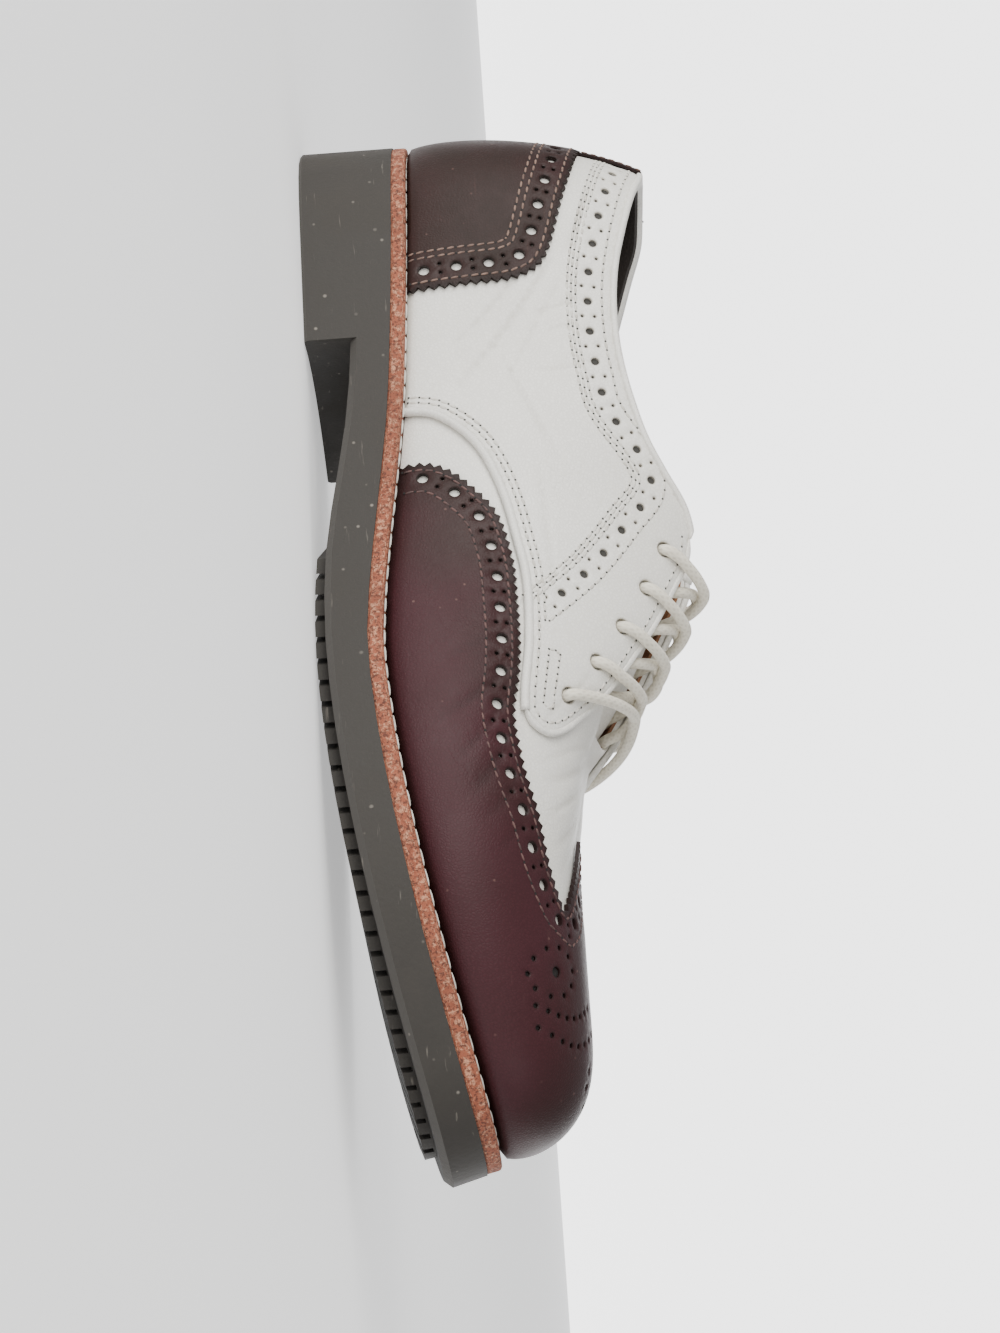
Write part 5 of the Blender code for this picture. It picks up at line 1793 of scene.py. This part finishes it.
@dataclass
class Sole:
    """The rubber unit, the leather welt and the sock lining."""

    last: Last
    finish: Finishes
    set_back: float = 0.4 * MM
    sock_thick: float = 2.5 * MM
    sock_clear: float = 1.95 * MM
    stitch_pitch: float = 5.2 * MM
    stitch_inset: float = 3.4 * MM
    stitch_half: tuple = (0.62 * MM, 0.42 * MM)
    columns: int = 14

    def seated(self, turns: Array, side: float, inset: Array, height: object) -> Array:
        """Points on the sole.

        Args:
            turns: places round it.
            side: -1 on the inner side and 1 on the outer side.
            inset: distance inside the outline.
            height: function of x that gives their height.

        Returns:
            An array of x, y and z in the scene.
        """
        x, y = self.last.plan(turns, side, inset)
        z = height(x)
        return joined(self.last.leaned(x, z - self.last.underside(x)), y, z) + self.last.shift

    def plate(self, name: str, profile: tuple, floor: object, material: Material, slot: Slot,
              turns: Array, shrink: Array = 0.0) -> SceneObject:
        """A plate with the sole's outline and a shaped edge.

        Its edge is a profile of inset and height, carried round the outline, and its two faces run
        from edge to edge.

        Args:
            name: the piece's name.
            profile: rows of inset and height above the floor line, from the lower to the upper face.
            floor: function of x that gives the lower face's height.
            material: its finish.
            slot: a Slot, handed on to mesh_object.
            turns: stations from the heel to the toe.
            shrink: further inset at each station.

        Returns:
            The object.
        """
        rows = np.array(profile)
        inset = rows[None, :, 0] + np.broadcast_to(shrink, turns.shape)[:, None]
        turn = turns[:, None] + 0 * inset
        inner, outer = (self.seated(turn, side, inset, lambda x: floor(x) + rows[:, 1])
                        for side in (-1.0, 1.0))
        share = np.linspace(0, 1, self.columns + 2)[1:-1][None, :, None]
        top = inner[:, -1:] * (1 - share) + outer[:, -1:] * share
        low = outer[:, :1] * (1 - share) + inner[:, :1] * share
        body = np.concatenate([inner, top, outer[:, ::-1], low], axis=1)
        uv = ribbon_uv(inner[:, 0], np.linspace(0, 0.03, body.shape[1]))
        faces = loft_faces(*body.shape[:2])
        return fix_normals(mesh_object(name, body.reshape(-1, 3), faces, material, slot, 50, uv))

    def build(self) -> None:
        """Make the welt, the sock lining, the rubber and the welt's stitches."""
        gap, high, back = self.last.gap, self.last.welt_thick, self.set_back
        profile = ((back + 0.35 * MM, -gap), (back + 0.08 * MM, 0.12 * MM), (back, 0.5 * MM),
                   (back, high - 0.9 * MM), (back + 0.12 * MM, high - 0.45 * MM),
                   (back + 0.5 * MM, high - 0.1 * MM), (back + 1.1 * MM, high))
        welt = self.plate("welt", profile, lambda x: self.last.deck(x) + gap, self.finish.welt, Slot.WELT,
                          np.linspace(0, 1, 220))
        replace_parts(welt, "midsole")
        base = high + 2 * gap
        profile = ((self.sock_clear, base), (self.sock_clear, base + self.sock_thick))
        turns = np.linspace(0, 1, 140)
        sock = self.plate("sock_lining", profile, self.last.deck, self.finish.lining, Slot.LINING, turns,
                          self.last.reveal(self.last.along(turns)))
        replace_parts(sock, "insole")
        self.rubber()
        self.welt_stitches()

    def rubber(self) -> None:
        """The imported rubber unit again, its triangles joined so that its round walls shade smoothly."""
        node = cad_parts["outsole"]
        points = np.array([v.co[:] for v in node.data.vertices])
        tris = np.array([p.vertices[:] for p in node.data.polygons])
        _, first, where = np.unique(np.round(points / 2e-6), axis=0, return_index=True, return_inverse=True)
        faces = whole(where.ravel()[tris])
        obj = mesh_object("rubber_sole", points[first], faces, self.finish.rubber, Slot.RUBBER, 24)
        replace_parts(obj, "outsole")

    def welt_stitches(self) -> None:
        """The row of pale stitches on the welt, each a flattened bar with round ends."""
        turns = np.linspace(0.004, 0.996, 1600)
        stitches = Pile()
        for side in (-1.0, 1.0):
            line = self.seated(turns, side, self.stitch_inset,
                               lambda x: self.last.deck(x) + self.last.gap + self.last.welt_thick)
            run = run_along(line)
            line = read_route(line, run, np.arange(0, run[-1], self.stitch_pitch))
            way = unit(np.diff(line, axis=0))
            across = np.cross((0, 0, 1.0), way)
            up = np.cross(way, across)
            wide, thick = self.stitch_half
            stitches.add(*stitch_bars((line[1:] + line[:-1]) / 2, way * 0.44 * self.stitch_pitch,
                                      across * wide, up * thick, (0.85, 0.4), 8))
        stitches.build("welt_stitches", self.finish.white_thread, Slot.WELT)


@dataclass
class Laces:
    """One round lace through the eyelets, as strands whose ends are hidden under the facings."""

    last: Last
    edges: Edges
    finish: Finishes
    radius: float = 1.5 * MM

    def strand(self, name: str, rows: list, side: float, count: int = 110) -> SceneObject:
        """A strand through points given as turn, across and height off the last.

        Args:
            name: the strand's name.
            rows: its points for the inner side.
            side: -1 for the inner side and 1 for its mirror.
            count: stations along it.

        Returns:
            The object.
        """
        route = smooth_route(np.array(rows, dtype=float), 400)
        line = self.last.skin(route[:, 0], route[:, 1] * -side, route[:, 2] * MM)
        run = run_along(line)
        line = read_route(line, run, np.linspace(0, run[-1], count))
        points, faces, uv = tube_parts(line, self.radius, 16)
        return fix_normals(mesh_object(name, points, faces, self.finish.lace, Slot.COTTON, 180, uv))

    def build(self) -> None:
        """Lace the shoe: each pair of eyelets crosses towards the toe, and a bar closes the front."""
        eyes = [(t, 1 - u) for t, u in self.edges.eyelets]
        for k, ((turn, hole), (after, under)) in enumerate(zip(eyes[:-1], eyes[1:]), 1):
            step = after - turn
            edge, far = 1 - self.last.top_edge(np.array([turn + 0.3 * step, turn + 0.9 * step]), -1.0)
            for side, lift in ((-1.0, 2.4), (1.0, -0.7)):
                rows = [
                    (turn, -hole, -0.9), (turn, -hole, 0.9), (turn + 0.04 * step, -hole + 0.012, 2.6),
                    (turn + 0.14 * step, -(hole + edge) / 2, 3.4), (turn + 0.26 * step, -edge, 3.3),
                    (turn + 0.40 * step, -edge * 0.55, 2.4 + 0.3 * lift),
                    (turn + 0.52 * step, 0.0, lift + 0.7),
                    (turn + 0.72 * step, far * 0.60, 0.3 + 0.4 * lift),
                    (turn + 0.86 * step, far - 0.012, -1.9), (turn + 0.94 * step, (under + far) / 2, -3.4),
                ]
                obj = self.strand(f"lace_{'inner' if side < 0 else 'outer'}_{k}", rows, side)
                if side < 0:
                    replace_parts(obj, f"lace_cross_{k}")
        turn, hole = eyes[-1]
        rows = [(turn, -hole, -0.9), (turn, -hole, 0.9), (turn - 0.001, 0.012 - hole, 2.6),
                (turn - 0.002, -hole * 0.80, 3.4), (turn - 0.003, -hole * 0.5, 4.0)]
        rows += [(turn - 0.004, 0.0, 4.3)] + [(t, -across, lift) for t, across, lift in rows[::-1]]
        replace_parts(self.strand("lace_front_bar", rows, -1.0, 160), "lace_bar")


@dataclass
class Studio:
    """The camera of the photograph, the pale floor and the soft lights."""

    last: Last
    seat: tuple = (552.3, -803.0, 56.8)
    right: tuple = (0.039, 0.086, 0.996)
    forward: tuple = (-0.447, 0.892, -0.060)
    focal: float = 3373.3
    frame_width: float = 1000.0
    aim: tuple = (664.0, 690.0)
    middle: tuple = (500.0, 667.0)

    def camera(self) -> None:
        """Place the camera, turned so that the point it aims at is the middle of the picture."""
        right, forward = Vector(self.right).normalized(), Vector(self.forward).normalized()
        down = forward.cross(right).normalized()
        across, below = (a - b for a, b in zip(self.aim, self.middle))
        ahead = (forward + right * (across / self.focal) + down * (below / self.focal)).normalized()
        right = (right - ahead * right.dot(ahead)).normalized()
        down = ahead.cross(right)
        turn = Matrix((right, -down, -ahead)).transposed().to_4x4()
        place = Vector(self.seat) * MM + Vector(self.last.shift)
        data = bpy.data.cameras.new("camera")
        data.sensor_fit = "HORIZONTAL"
        data.sensor_width = 36.0
        data.lens = self.focal * 36.0 / self.frame_width
        data.clip_start, data.clip_end = 0.01, 50.0
        obj = new_object("camera", data)
        obj.matrix_world = Matrix.Translation(place) @ turn
        bpy.context.scene.camera = obj

    def area(self, name: str, place: tuple, target: tuple, size: tuple, power: float, color: tuple) -> None:
        """A soft light of a width and a height that faces a target."""
        data = bpy.data.lights.new(name, "AREA")
        data.shape = "RECTANGLE"
        data.size, data.size_y = size
        data.energy, data.color = power, color
        obj = new_object(name, data)
        way = Vector(target) - Vector(place)
        obj.matrix_world = Matrix.Translation(place) @ way.to_track_quat("-Z", "Y").to_matrix().to_4x4()

    def sweep(self, name: str, y: Array, z: Array, color: tuple, glow: float) -> None:
        """A wide pale sheet of the studio: a curve of y and z drawn out in x."""
        x = np.linspace(-18.0, 18.0, 3)
        grid = joined(x[:, None], y, z)
        mesh = bpy.data.meshes.new(name)
        mesh.from_pydata(grid.reshape(-1, 3).tolist(), [], grid_faces(3, len(y)).tolist())
        mesh.shade_smooth()
        material = bpy.data.materials.new(name)
        material.use_nodes = True
        shader = material.node_tree.nodes["Principled BSDF"]
        shader.inputs["Base Color"].default_value = color
        shader.inputs["Roughness"].default_value = 0.9
        shader.inputs["Emission Color"].default_value = (1.0, 1.0, 1.0, 1.0)
        shader.inputs["Emission Strength"].default_value = glow
        mesh.materials.append(material)
        new_object(name, mesh)

    def build(self) -> None:
        """Make the studio: a pale floor, a lit sheet far behind, two soft lights and a dim surround."""
        self.camera()
        self.sweep("floor", np.array([-12.0, 9.0]), np.array([0.0, 0.0]), (0.90, 0.90, 0.895, 1.0), 0.55)
        angle = np.linspace(0, np.pi / 2, 24)
        self.sweep("backdrop", 9.0 + 6.0 * np.sin(angle), 6.0 - 6.0 * np.cos(angle), (0.9, 0.9, 0.9, 1.0),
                   2.6)
        self.area("key_light", (-1.0, -2.0, 0.55), (0.0, 0.0, 0.03), (2.4, 1.0), 72.0, (1.0, 0.985, 0.955))
        self.area("toe_light", (1.9, -1.2, 0.9), (0.08, 0.0, 0.03), (0.9, 0.7), 9.0, (1.0, 0.97, 0.94))
        world = bpy.data.worlds.new("studio")
        world.use_nodes = True
        back = world.node_tree.nodes["Background"]
        back.inputs["Color"].default_value = (0.97, 0.98, 1.0, 1.0)
        back.inputs["Strength"].default_value = 0.62
        bpy.context.scene.world = world


def main() -> None:
    """Build the dressed shoe and its studio."""
    logging.basicConfig(level=logging.INFO, format="%(message)s")
    finish = Finishes.make()
    last = Last()
    last.settle(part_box("outsole"))
    edges = Edges(last)
    white_seam, plum_seam, beige_seam = Seam(last), Seam(last, 0.33 * MM), Seam(last, 0.34 * MM)
    Sole(last, finish).build()
    Upper(last, edges, finish).build(white_seam)
    dark = DarkLeathers(last, edges, finish)
    dark.wing_cap(plum_seam)
    dark.heel_panel(beige_seam)
    white_seam.build("white_stitches", finish.white_thread, finish.grey_hole_shade, Slot.WHITE)
    plum_seam.build("wing_stitches", finish.dark_thread, finish.hole, Slot.OXBLOOD)
    beige_seam.build("heel_stitches", finish.beige_thread, finish.hole, Slot.OXBLOOD)
    Laces(last, edges, finish).build()
    Studio(last).build()


if __name__ == "__main__":
    main()
